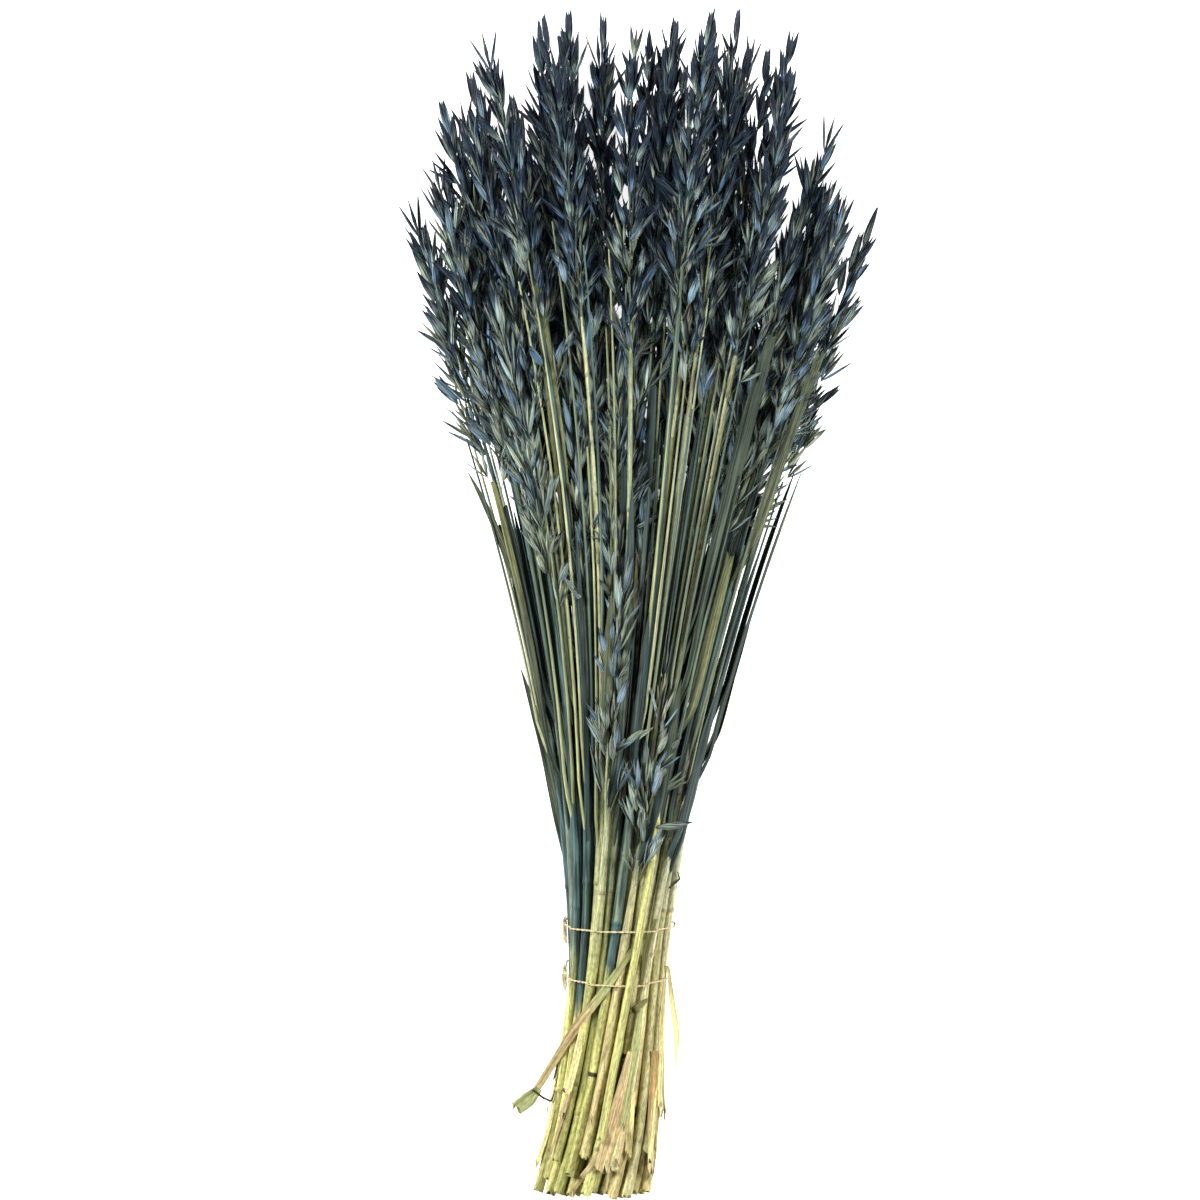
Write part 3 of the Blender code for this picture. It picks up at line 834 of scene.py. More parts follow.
def find_lance(stem, k, crowd):
    """The k-th lance of this stem, turned or closed until it is clear of everything."""
    share = k / LANCES
    if k == LANCES:
        return Lance(stem, stem.tip - TERMINAL_ROOT, LANCE_LENGTH[1], 0, TERMINAL_OPENING)
    station = mix(stem.base, stem.tip - LAST_ROOT, share)
    length = mix(*LANCE_LENGTH, share) * stem.rng.uniform(*LANCE_LENGTHS)
    opening = mix(*OPENING, share) * stem.rng.uniform(*OPENINGS)
    turn = stem.index + math.radians(FIRST_TURN + NEXT_TURN * k) + stem.rng.uniform(*TURN_PLAY)
    for step in range(TRIES):
        sign = 1 if step % 2 else -1
        shift = sign * TRY_TURN * ((step + 1) // 2)
        closed = opening * (1 - TRY_CLOSE * step)
        lance = Lance(stem, station, length, turn + shift, closed)
        if crowd.clear(lance.capsules(), stem.index):
            return lance
    return None


def hanging_sheath(stems, way, root, length, width, bow):
    """A dry sheath that has come away from the outermost culm on that side and bends back to the foot."""
    out = heading(way)
    stem = max(stems, key=lambda s: s.slot @ out)
    return Leaf(stem, out * LEAF_OFFSETS[0], way + SHEATH_TURN, root, length, width, bow)


def grow(stems):
    """Sheaths, blades and lances of all stems, each placed clear of what is there already."""
    crowd = Crowd(CLEARANCE)
    for stem in stems:
        crowd.add(stem.capsules(), stem.index)
        stem.sheaths, stem.blades, stem.shoots, stem.lances = [], [], [], []
    for numbers in SHEATHS:
        sheath = hanging_sheath(stems, *numbers)
        crowd.keep(sheath, sheath.stem.sheaths)
    for stem in stems:
        leaf = find_leaf(stem, crowd, stem.rng) if stem.rng.random() < LEAF_SHARE else None
        crowd.keep(leaf, stem.blades)
    for k in reversed(range(LANCES + 1)):
        for stem in stems:
            crowd.keep(find_lance(stem, k, crowd), stem.lances)


# Blades, thin shoots and spikelets that the frame leaves out


class Shoot(Leaf):
    """A thin side shoot, which leaves its culm as a leaf does."""

    def path(self):
        return [self.section(share, 1)[0] for share in np.linspace(0, 1, SHOOT_STEPS)]

    def capsules(self):
        points = self.path()[1:]
        return [(p, q, SHOOT_RADIUS[0]) for p, q in zip(points, points[1:])]


def grow_more(stems):
    """More shoots and blades, placed clear of all that the frame has."""
    rng = random.Random(SEED + 2)
    crowd = Crowd(CLEARANCE * MORE_CLEARANCE)
    for stem in stems:
        crowd.add(stem.capsules(), stem.index)
        for leaf in stem.blades + stem.sheaths:
            crowd.add(leaf.capsules())
    for stem in stems:
        stem.inward = math.pi if abs(place(stem.slot, CROWN).x - CROWN_X) > SHOOT_HALF else 0
    for stem in stems * SHOOTS:
        shoot = find_leaf(stem, crowd, rng, Shoot, SHOOT_LENGTH, away=stem.inward)
        if shoot:
            shoot.length = min(shoot.length, stem.top - SHOOT_BELOW_TOP - shoot.root)
        crowd.keep(shoot, stem.shoots)
    for numbers in STRAY_LEAVES:
        leaf = stray_leaf(stems, *numbers)
        crowd.keep(leaf, leaf.stem.blades)
    for stem in stems * MORE_LEAVES:
        leaf = find_leaf(stem, crowd, rng, Leaf, MORE_LENGTH, MORE_WIDTHS, stem.inward)
        crowd.keep(leaf, stem.blades)


def stray_leaf(stems, x, up, root, length, width, off, bow, dye):
    """A leaf of the outermost stem near x, on the left, on the right or, where up is set, in front."""
    out = np.array([0.0, 1.0] if up else [math.copysign(1, x), 0.0])
    middle = root + length / 2

    def standing_out(stem):
        spot = stem.at(middle)
        return spot.z - STRAY_NEAR * abs(spot.x - x) if up else -abs(spot.x - x)

    stem = max((s for s in stems if s.top > root + length), key=standing_out)
    leaf = Leaf(stem, out * off, 0 if up else STRAY_TURNS[x > 0], root, length, width, bow)
    leaf.dye = dye
    return leaf


class Spikelet:
    """Two glumes that open from a stalk: where it stands, how it is turned and how wide it opens."""

    def __init__(self, stalk, root, along, length, rng):
        self.stalk = stalk
        self.root = root
        self.along = along
        self.length = length
        self.girth = rng.uniform(*GIRTH)
        self.spread = mix(*GLUME_SPREAD, rng.random() ** SPREAD_EASE)
        self.turn = rng.uniform(0, 2 * math.pi)
        self.tone = rng.random()
        height = smooth((root.y - FOOT_Y - HEAD_LOW) / (CROWN - HEAD_LOW))
        self.tint = rng.choice(GLUMES_HIGH if rng.random() < height else GLUMES_LOW)
        self.dye = mix(*HEAD_DYE, height**HEAD_EASE) + rng.uniform(*DYE_SPREAD)

    def capsules(self):
        low, high = (self.root + self.along * self.length * share for share in SPIKELET_ENDS)
        return [(low, high, SPIKELET_ROOM)]


def on_lance(stem, lance, rng):
    """The spikelet at a lance's end, and often one beside its foot. Near the tip they lie closer, and the
    uppermost has one just below it."""
    stalk = lance.point(STALK_AT)
    share = min(max((stalk.y - FOOT_Y - stem.base) / stem.panicle, 0), 1)
    ahead = (stem.points[-1] - stem.points[-2]).normalized()
    along = (lance.along + ahead * TIP_CLOSES * share**2).normalized()
    length = rng.uniform(*GLUME_LENGTH)
    uppermost = lance is stem.lances[0]
    pulled = 0 if uppermost else rng.uniform(*TIP_PULLED) * share**2
    root = lance.point(1 - pulled) - lance.along * length
    found = [Spikelet(stalk, root, along, length, rng)]
    if uppermost:
        aside = lance.out * rng.choice((-1, 1))
        foot = root - along * NEXT_BELOW + aside * NEXT_ASIDE
        leaning = (along + aside * NEXT_LEAN).normalized()
        length = rng.uniform(*GLUME_LENGTH) * LOW_SPIKELET
        found.append(Spikelet(foot - along * NEXT_STALK, foot, leaning, length, rng))
    if rng.random() < mix(*BESIDE_SHARE, share):
        beside = lance.along.cross(lance.out).normalized() * rng.choice((-1, 1)) * BESIDE
        length = rng.uniform(*GLUME_LENGTH) * LOW_SPIKELET
        found.append(Spikelet(stalk, lance.point(BESIDE_AT) + beside, along, length, rng))
    return found


def fullness(stem, share):
    """How many of the spikelets here grow: fewer towards the tip, and fewer between the whorls."""
    thinned = mix(1, TIP_FULLNESS, smooth((share - THINS_FROM) / (1 - THINS_FROM)))
    whorl = (1 + math.cos(stem.phase + 2 * math.pi * share * stem.panicle / WHORL)) / 2
    return stem.fullness * thinned * mix(WHORL_GAP, 1, whorl)


def between(stem, share, turn, rng):
    """A spikelet on a branch that leaves the rachis at this share of the panicle."""
    station = mix(stem.base, stem.tip, share)
    ahead = (stem.at(station + MM) - stem.at(station - MM)).normalized()
    out = square_to(ahead, turn)
    opening = mix(*MORE_OPENING, share) * rng.uniform(*MORE_OPENINGS)
    reach = mix(*MORE_BRANCH, max(share, 0)) * rng.uniform(*MORE_BRANCHES)
    branch = swung(ahead, out, opening)
    lean = opening * rng.uniform(*MORE_LEAN)
    if rng.random() < WILD_SHARE:
        lean *= WILD_LEAN
    along = swung(ahead, out, lean)
    stalk = stem.at(station)
    root = stalk + branch * (reach + LEAST_BRANCH) + out * OFF_RACHIS
    return Spikelet(stalk, root, along, rng.uniform(*GLUME_LENGTH), rng)


def add_more(stem, k, crowd, rng):
    """The k-th of the spikelets that this stem may grow, where it finds room."""
    share = (k + rng.random()) / MORE_SPIKELETS * MORE_UPTO
    if k < 0:
        share *= STRAGGLER_REACH
    if rng.random() > fullness(stem, share):
        return
    for step in range(MORE_TRIES):
        spikelet = between(stem, share, k * GOLDEN + step * MORE_TURN, rng)
        end = spikelet.root + spikelet.along * spikelet.length
        inside = abs(end.x) < MORE_HALF and end.z < MORE_HEIGHT
        if inside and crowd.clear(spikelet.capsules(), stem.index):
            crowd.keep(spikelet, stem.spikelets)
            return


def fill_panicles(stems):
    """All spikelets: those along the lances, then as many more as find room."""
    rng = random.Random(SEED + 1)
    crowd = Crowd(SPIKELET_GAP)
    for stem in stems:
        stations = np.linspace(stem.cut, stem.tip, CULM_STEPS)
        points = [stem.at(s) for s in stations]
        crowd.add(list(zip(points, points[1:], [stem.radius_at(s) for s in stations])), stem.index)
        for leaf in stem.blades + stem.sheaths:
            crowd.add(leaf.capsules())
    for stem in stems:
        stem.fullness = rng.uniform(*FULLNESS)
        stem.phase = rng.uniform(0, 2 * math.pi)
        stem.spikelets = [s for lance in stem.lances for s in on_lance(stem, lance, rng)]
        for spikelet in stem.spikelets:
            crowd.add(spikelet.capsules())
    for k in reversed(range(-STRAGGLERS, MORE_SPIKELETS)):
        for stem in stems:
            add_more(stem, k, crowd, rng)


# Meshes


Skin = namedtuple("Skin", "tone tint dye")


class Shape:
    """A mesh in the making. Each corner is marked with its part's tone, its place along and across the part,
    the part's tint and how far it is dyed."""

    def __init__(self):
        self.corners = []
        self.marks = []
        self.faces = []
        self.looks = []
        self.count = 0

    def add(self, corners, faces, marks, look):
        self.corners.append(corners)
        self.marks.append(marks)
        self.faces += [[c + self.count for c in face] for face in faces]
        self.looks += [look] * len(faces)
        self.count += len(corners)

    def loft(self, sections, skin, look, lengthwise=None, crosswise=None, faces=None):
        """A closed skin over sections, an array of (section, corner, xyz). Without faces of its own it has
        both ends capped."""
        rows, sides = sections.shape[:2]
        marks = np.empty((rows, sides, MARK_COUNT))
        marks[:, :, 0] = skin.tone
        marks[:, :, 1] = np.reshape(np.linspace(0, 1, rows) if lengthwise is None else lengthwise, (-1, 1))
        marks[:, :, 2] = 1 - abs(2 * np.arange(sides) / sides - 1) if crosswise is None else crosswise
        marks[:, :, 3:6] = np.reshape(skin.tint, (-1, 1, 3))
        marks[:, :, 6] = np.reshape(skin.dye, (-1, 1))
        marks = marks.reshape(-1, MARK_COUNT)
        self.add(sections.reshape(-1, 3), faces or loft_faces(rows, sides), marks, look)

    def finish(self, name, materials, slot, *nodes):
        """The smooth-shaded object with its marks as attributes, in place of these nodes."""
        mesh = bpy.data.meshes.new(name)
        mesh.from_pydata(pressed(np.concatenate(self.corners)), [], self.faces)
        for material in materials:
            mesh.materials.append(material)
        mesh.polygons.foreach_set("material_index", self.looks)
        marks = np.concatenate(self.marks)
        for title, columns in (("marks", slice(0, 3)), ("tint", slice(3, 6))):
            attribute = mesh.attributes.new(title, "FLOAT_VECTOR", "POINT")
            attribute.data.foreach_set("vector", marks[:, columns].ravel())
        mesh.attributes.new("dye", "FLOAT", "POINT").data.foreach_set("value", marks[:, 6].copy())
        mesh.shade_smooth()
        mesh.set_sharp_from_angle(angle=SHARP_ANGLE)
        piece = add_object(name, mesh)
        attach(piece, "root")
        if nodes:
            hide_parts(*nodes)


def add_object(name, data):
    """A new object of the scene."""
    obj = bpy.data.objects.new(name, data)
    bpy.context.scene.collection.objects.link(obj)
    return obj


def pressed(corners):
    """The corners, with those near the floor or above the bunch pressed together."""
    height = corners[:, 2]
    low, high = height < PRESSED_BELOW, height > PRESSED_ABOVE
    height[low] = PRESSED_BELOW * np.exp(height[low] / PRESSED_BELOW - 1)
    height[high] = PRESSED_ABOVE + MM * (1 - np.exp((PRESSED_ABOVE - height[high]) / MM))
    return corners


def nodding(corners, stem):
    """The corners of a stem, with its head bent aside towards the tip."""
    share = np.clip((corners[:, 1] - FOOT_Y - stem.top + NOD_LENGTH) / NOD_LENGTH, 0, 1)
    return corners + np.array(stem.nod) * share[:, None] ** 2


def loft_faces(rows, sides):
    """Faces of a skin over sections whose corners run anticlockwise for an eye that looks along the loft."""
    faces = [list(range(sides))]
    for row in range(rows - 1):
        for k in range(sides):
            a, b = row * sides + k, row * sides + (k + 1) % sides
            faces.append([a, a + sides, b + sides, b])
    faces.append([(rows - 1) * sides + k for k in reversed(range(sides))])
    return faces


def unit(vectors):
    """The vectors, one in each row, brought to a length of one."""
    return vectors / np.linalg.norm(vectors, axis=1)[:, None]


def directions(points):
    """Unit vectors along a path, and two that are square to it."""
    along = unit(np.gradient(points, axis=0))
    side = unit(np.cross(along, (0, 0, 1)))
    return along, side, np.cross(side, along)


def circles(side, up, sides):
    """The corners of a unit circle round each point of a path."""
    turns = (2 * math.pi * np.arange(sides) / sides)[:, None]
    return side[:, None] * np.cos(turns) + up[:, None] * np.sin(turns)


def tube(points, radii, sides):
    """Round sections along a path. radii has a row for each point, and may have a column for each side."""
    points = np.array(points)
    _, side, up = directions(points)
    return points[:, None] + circles(side, up, sides) * np.array(radii).reshape(len(points), -1, 1)


# Straws


def ring_stations(stem, rng):
    """Where the straw has its rings, from a first one near the foot."""
    found = [rng.uniform(*RING_FIRST)]
    while found[-1] < stem.base:
        found.append(found[-1] + rng.uniform(*RING_STEP))
    return [s for s in found if stem.cut + RING_ROOM < s < stem.base - RING_ROOM]


def straw_skin(station, rng):
    """A sheath or a bare stretch that starts here: its own tint, how far that shows, and its dye."""
    tints = FOOT_STRAWS if station < NECK else CULMS
    return np.array(rng.choice(tints)), rng.uniform(*OWN_WAY), rng.uniform(*STRAW_DYE)


def straw_runs(stem, rings, rng):
    """The stretches between rings: start, end of the sheath round it, skin of the sheath and of the culm."""
    runs = []
    for low, high in zip([stem.cut, *rings], [*rings, stem.base]):
        edge = mix(low, high, rng.uniform(*SHEATH_COVER))
        runs.append((low, edge, straw_skin(low, rng), straw_skin(edge, rng)))
    return runs


def hollow(points, radii, bore_end, rng):
    """Sections of a straw: from the bottom of its bore to its jagged cut, and on along its outside."""
    outer = tube(points, radii, STRAW_SIDES)
    bore = tube([bore_end, points[0]], [radii[0] * BORE_SHARE] * 2, STRAW_SIDES)
    inner = np.roll(bore[:, ::-1], 1, axis=1)
    jag = np.array([rng.uniform(-JAG, JAG) for _ in range(STRAW_SIDES)])
    outer[0, :, 1] += jag
    inner[1, :, 1] += jag
    return np.concatenate([inner, outer])


def straw_stations(stem, rings, runs):
    """Where the straw's sections are: at even steps, at its rings and where its sheaths end."""
    stations = set(np.arange(stem.cut + STRAW_STEP / 2, stem.base, STRAW_STEP))
    stations |= {ring + RING_HALF * k for ring in rings for k in RING_ROWS}
    stations |= {edge + SHEATH_EDGE * k for _, edge, _, _ in runs for k in (-1, 1)}
    return [stem.cut, *sorted(s for s in stations if stem.cut + JAG < s < stem.base), stem.base]


def straw_section(stem, station, rings, runs):
    """The straw's radius, tint and dye at this station."""
    _, edge, sheath, culm = next(run for run in reversed(runs) if station >= run[0])
    own, way, share = sheath if station < edge else culm
    turned = mix(stem.foot_tint, stem.tint, smooth((station - TURNS_FROM) / TURNS_REACH))
    tint = mix(turned, own, way)
    ahead = min([station - ring for ring in rings], key=abs, default=math.inf) / RING_HALF
    if abs(ahead) <= 1:
        tint = RING_DARK if stem.tone < DARK_RINGS and station < NECK else tint * RING_SHADE
    elif PALE_FROM < ahead < 0:
        tint = mix(tint, np.array(RING_PALE), RING_PALER)
    slim = mix(1, stem.slim, smooth((station - NECK) / SLIM_REACH))
    radius = stem.radius_at(station) * slim + (SHEATH_RISE if station < edge else 0)
    radius *= mix(RING_SWELL, 1, smooth((abs(ahead) - 1) / RING_EASE))
    return radius, tint, share * stem.dye * smooth((station - stem.dye_start) / stem.dye_reach)


def add_straw(shape, stem, rng):
    """A hollow straw from its jagged cut to its panicle, in one skin from the bottom of its bore."""
    rings = ring_stations(stem, rng)
    runs = straw_runs(stem, rings, rng)
    stations = straw_stations(stem, rings, runs)
    radii, tints, dyes = zip(*(straw_section(stem, s, rings, runs) for s in stations))
    sections = hollow([stem.at(s) for s in stations], radii, stem.at(stem.cut + BORE_DEPTH), rng)
    skin = Skin(stem.tone, [tints[0], tints[0], *tints], [0, 0, *dyes])
    shape.loft(sections, skin, LOOK_STRAW, np.array([stem.cut, stem.cut, *stations]) / MARK_LENGTH)


def add_rachis(shape, stem):
    stations = np.linspace(stem.base - RACHIS_REACH, stem.tip, RACHIS_STEPS)
    radii = np.linspace(RACHIS_RADIUS, RACHIS_TIP * RACHIS_END, RACHIS_STEPS) * stem.slim
    skin = Skin(stem.tone, stem.rachis_tint, np.linspace(stem.dye * RACHIS_DYE, 1, RACHIS_STEPS))
    shape.loft(tube([stem.at(s) for s in stations], radii, RACHIS_SIDES), skin, LOOK_STRAW)


def add_shoot(shape, shoot, rng):
    radii = np.linspace(*SHOOT_RADIUS, SHOOT_STEPS)
    dyes = np.linspace(rng.uniform(*SHOOT_DYE), rng.uniform(*SHOOT_DYE), SHOOT_STEPS)
    skin = Skin(rng.random(), rng.choice(CULMS), dyes)
    shape.loft(tube(shoot.path(), radii, SHOOT_SIDES), skin, LOOK_STRAW)


# Spikelets


def arc(turns, across, outward, share):
    """Corners of a glume at these turns, so wide across and outward."""
    turns = [math.radians(turn) for turn in turns]
    return [(math.sin(turn) * across, math.cos(turn) * outward, share) for turn in turns]


def glume_template():
    """The sections of one boat-shaped glume: x across, y outward, z along."""
    sections = []
    for share, width in GLUME_RINGS:
        inner = max(width - 2 * GLUME_THICK / GLUME_DEPTH, width * INNER_LEAST)
        inside = arc(INNER_TURNS, width * INNER_WIDTH, inner, share)
        sections.append(arc(GLUME_TURNS, width, width, share) + inside)
    return np.array(sections)


GLUME = glume_template()
GLUME_SHARES = np.array([share for share, _ in GLUME_RINGS])
GLUME_ACROSS = [turn / GLUME_TURNS[-1] for turn in GLUME_TURNS + INNER_TURNS]
GLUME_FACES = loft_faces(*GLUME.shape[:2])


def add_glume(shape, spikelet, out, length):
    """A glume on one side of the spikelet, leaning and bowing out by its spread."""
    along = np.array(spikelet.along)
    lean = spikelet.spread
    axis, depth = swung(along, out, lean), swung(out, -along, lean)
    wide = np.cross(depth, axis) * spikelet.girth * GLUME_WIDTH / 2
    bowed = GLUME.copy()
    bowed[:, :, 1] += (GLUME_SHARES**2 * GLUME_BOW * lean / GLUME_SPREAD[1])[:, None]
    sections = np.array(spikelet.root) + bowed @ np.stack([wide, depth * GLUME_DEPTH, axis * length])
    skin = Skin(spikelet.tone, spikelet.tint, spikelet.dye + TIP_DYE * (GLUME_SHARES - TIP_FROM))
    shape.loft(sections, skin, LOOK_GLUME, GLUME_SHARES, GLUME_ACROSS, GLUME_FACES)


def add_spikelet(shape, spikelet):
    """Two glumes, the grain between them and the stalk."""
    along, root, stalk = (np.array(v) for v in (spikelet.along, spikelet.root, spikelet.stalk))
    side = np.cross(along, (0.0, 0.0, 1.0))
    side /= np.linalg.norm(side)
    out = swung(side, np.cross(side, along), spikelet.turn)
    add_glume(shape, spikelet, out, spikelet.length)
    add_glume(shape, spikelet, -out, spikelet.length * SECOND_GLUME)
    grain = [root + along * spikelet.length * share for share in GRAIN_SHARES]
    shape.loft(tube(grain, GRAIN_RADII, GRAIN_SIDES), Skin(spikelet.tone, GRAIN, spikelet.dye), LOOK_GLUME)
    middle = (stalk + root) / 2 + (root - stalk - along * np.dot(root - stalk, along)) * BRANCH_BOW
    branch = tube([stalk, middle, root + along * BRANCH_INTO], BRANCH_RADII, BRANCH_SIDES)
    shape.loft(branch, Skin(spikelet.tone, BRANCH_TINT, spikelet.dye), LOOK_STRAW)


# Blades and sheaths


def band(centres, wides, normals, creases, torn, rng):
    """Sections of a thin blade, with a crease along its middle, and how far across each corner is."""
    columns = np.linspace(-1, 1, BLADE_COLUMNS)
    halves = np.linalg.norm(wides, axis=1)
    dips = creases[:, None] * (np.abs(columns) - 0.5) * halves[:, None]
    narrow = 1 / np.sqrt(1 + creases**2)
    spread = centres[:, None] + (wides * narrow[:, None])[:, None] * columns[:, None]
    faces = [spread + (dips + sign * BLADE_THICK / 2)[:, :, None] * normals[:, None] for sign in (-1, 1)]
    if torn:
        tears = np.array([rng.uniform(-TEAR, TEAR) for _ in columns])
        for face in faces:
            face[-1, :, 1] += tears
    return np.concatenate([faces[0], faces[1][:, ::-1]], axis=1), np.concatenate([columns, columns[::-1]])


def add_blade(shape, leaf, rng):
    """A ribbed blade, curled round its culm at the root, with a pointed or torn end."""
    shares = np.linspace(0, 1, BLADE_STEPS)
    torn = rng.random() < TORN_SHARE
    widths = np.interp(shares, *zip(*(TORN_RINGS if torn else BLADE_RINGS)))
    rows = [leaf.section(share, width) for share, width in zip(shares, widths)]
    centres, wides, thicks = (np.array([np.array(v) for v in column]) for column in zip(*rows))
    crease = rng.uniform(*BLADE_CREASE)
    wave = WAVE * np.sin(shares * rng.uniform(*WAVES) + rng.uniform(*WAVE_STARTS))
    creases = np.array([mix(BLADE_CURL, crease, smooth(share / CURL_SHARE)) for share in shares]) + wave
    sections, crosswise = band(centres, wides, unit(thicks), creases, torn, rng)
    near, far = rng.choice(LEAVES), rng.choice(LEAVES)
    dyes = np.linspace(rng.uniform(*LEAF_DYE), rng.uniform(*LEAF_DYE), BLADE_STEPS)
    if leaf.dye is not None:
        (near, far), dyes = STRAY_TINTS, leaf.dye
    tints = [mix(np.array(near), np.array(far), share) for share in shares]
    lengthwise = shares * abs(leaf.length) / MARK_LENGTH
    shape.loft(sections, Skin(rng.random(), tints, dyes), LOOK_LEAF, lengthwise, crosswise)


# Loose sheaths and a loose straw over the front of the foot


def top_of(stems, x, station, half):
    """How high the straws reach under a strip of this half width."""
    tops = [0.0]
    for stem in stems:
        if stem.cut < station < stem.tip:
            centre, radius = stem.at(station), stem.radius_at(station)
            aside = max(abs(centre.x - x) - half, 0)
            if aside < radius:
                tops.append(centre.z + math.sqrt(radius * radius - aside * aside))
    return max(tops)


def eased(values):
    """The values along a path, each averaged with its neighbours."""
    return np.convolve(np.pad(values, len(EASING) // 2, mode="edge"), EASING, mode="valid")


def laid_path(stems, points, half, steps):
    """The points as a smooth path. Where a point has no height, the path lies on the straws."""
    shares, knots = np.linspace(0, 1, steps), np.linspace(0, 1, len(points))
    across_bunch, stations = (np.interp(shares, knots, [p[k] * MM for p in points]) for k in (0, 1))
    laid = np.array([top_of(stems, x, s, half) for x, s in zip(across_bunch, stations)])
    laid = np.maximum(np.maximum(laid, np.roll(laid, 1)), np.roll(laid, -1)) + STRIP_LIFT
    given = [p[2] * MM if len(p) > 2 else laid[round(k * (steps - 1))] for k, p in zip(knots, points)]
    free = np.interp(shares, knots, [len(p) > 2 for p in points])
    heights = mix(laid, np.interp(shares, knots, given), free)
    return np.stack([eased(across_bunch), FOOT_Y + eased(stations), eased(eased(heights))], 1)


def add_strip(shape, stems, points, widths, tints, torn, rng):
    """A dry sheath or leaf along these points."""
    knots, shares = np.linspace(0, 1, len(points)), np.linspace(0, 1, STRIP_STEPS)
    halves = np.interp(shares, knots, widths) * MM / 2
    centres = laid_path(stems, points, halves.mean(), STRIP_STEPS)
    _, side, up = directions(centres)
    creases = rng.uniform(*STRIP_CREASE) + WAVE * np.sin(shares * WAVES[0])
    sections, crosswise = band(centres, side * halves[:, None], up, creases, torn, rng)
    tinted = np.stack([np.interp(shares, knots, [tint[k] for tint in tints]) for k in range(3)], 1)
    lengthwise = shares * np.linalg.norm(centres[-1] - centres[0]) / MARK_LENGTH
    shape.loft(sections, Skin(rng.random(), tinted, 0), LOOK_SHEATH, lengthwise, crosswise)


def add_loose_straw(shape, stems, rng):
    """A pale straw that lies over both strings."""
    path = laid_path(stems, LOOSE_STRAW, LOOSE_RADIUS / 2, LOOSE_STEPS)
    path[:, 2] += LOOSE_RADIUS
    for middle, tilt, _ in TIES.values():
        off = (path[:, 1] - FOOT_Y - middle + tilt / 2) / STRING_RAMP
        path[:, 2] += STRING_RISE * np.exp(-off * off)
    radii = np.linspace(LOOSE_RADIUS * LOOSE_END, LOOSE_RADIUS, LOOSE_STEPS)[::-1]
    path = path[::-1]
    bore_end = path[0] + (path[1] - path[0]) / np.linalg.norm(path[1] - path[0]) * BORE_DEPTH
    sections = hollow(path, radii, bore_end, rng)
    lengthwise = np.array([0, 0, *np.linspace(0, LOOSE_MARKS, LOOSE_STEPS)])
    shape.loft(sections, Skin(rng.random(), LOOSE_TINT, 0), LOOK_STRAW, lengthwise)


def outer_stem(stems, station, turn):
    """The straw that stands out most in this direction at this station."""
    out = facing(turn)
    return max((s for s in stems if s.cut < station), key=lambda s: s.at(station).dot(out)), out


def add_dry_sheath(shape, stems, k, rng):
    """A torn sheath that lies along an outer straw of the foot."""
    low = rng.uniform(*DRY_ROOT)
    stem, out = outer_stem(stems, low + DRY_LENGTH[0], k * GOLDEN)
    stations = np.linspace(low + rng.uniform(*DRY_LENGTH), low, STRIP_STEPS)
    shares = np.linspace(0, 1, STRIP_STEPS)
    lift = [stem.radius_at(s) + STRIP_LIFT + DRY_LIFT * share**3 for s, share in zip(stations, shares)]
    centres = np.array([stem.at(s) + out * up for s, up in zip(stations, lift)])
    wide = np.cross(directions(centres)[0], np.array(out))
    half = DRY_HALF * rng.uniform(*DRY_WIDTHS)
    halves = half * np.interp(shares, (0, DRY_FULL, 1), (DRY_TIP, 1, rng.uniform(*DRY_FOOT)))
    creases = np.full(STRIP_STEPS, rng.uniform(*DRY_CREASE))
    normals = np.array([out] * STRIP_STEPS)
    sections, crosswise = band(centres, wide * halves[:, None], normals, creases, True, rng)
    skin = Skin(rng.random(), rng.choice(DRY_TINTS), 0)
    shape.loft(sections, skin, LOOK_SHEATH, shares * DRY_LENGTH[1] / MARK_LENGTH, crosswise)


def build_foot(stems, materials):
    rng = random.Random(SEED + 3)
    shape = Shape()
    for k in range(DRY_SHEATHS):
        add_dry_sheath(shape, stems, k, rng)
    for points, widths, tints, torn in STRIPS:
        add_strip(shape, stems, points, widths, tints, torn, rng)
    add_loose_straw(shape, stems, rng)
    shape.finish("foot_sheaths", materials, "oat")


# Whole stems


def dress(stem, rng):
    """Gives the stem its tints, its dye, its girth and the way its head nods."""
    stem.tone = rng.random()
    side = min(max(0.5 + stem.slot[0] / NECK_START / 2 + rng.uniform(*SIDE_PLAY), 0), 1)
    stem.dye_start = mix(*DYE_START, smooth((side - DYE_SIDES[0]) / (DYE_SIDES[1] - DYE_SIDES[0])))
    stem.dye_reach = rng.uniform(*DYE_REACH)
    stem.foot_tint = np.array(rng.choice(FOOT_TAN if rng.random() < side else FOOT_GREEN))
    stem.tint = np.array(rng.choice(CULMS))
    stem.dye = 1 if rng.random() < DYED_SHARE else rng.uniform(*LEAST_DYED)
    stem.slim = rng.uniform(*SLIM) * mix(PALE_SLIM, 1, stem.dye)
    stem.rachis_tint = rng.choice(CULMS)
    edge = (place(stem.slot, CROWN).x - CROWN_X) / CROWN_HALF[0]
    stem.nod = (
        rng.uniform(-NOD_ACROSS, NOD_ACROSS) * (1 - SIDE_CALM * min(abs(edge), 1)) + SIDE_OUT * edge,
        SIDE_RISE * min(abs(edge), 1),
        rng.uniform(-NOD_UP, NOD_UP),
    )


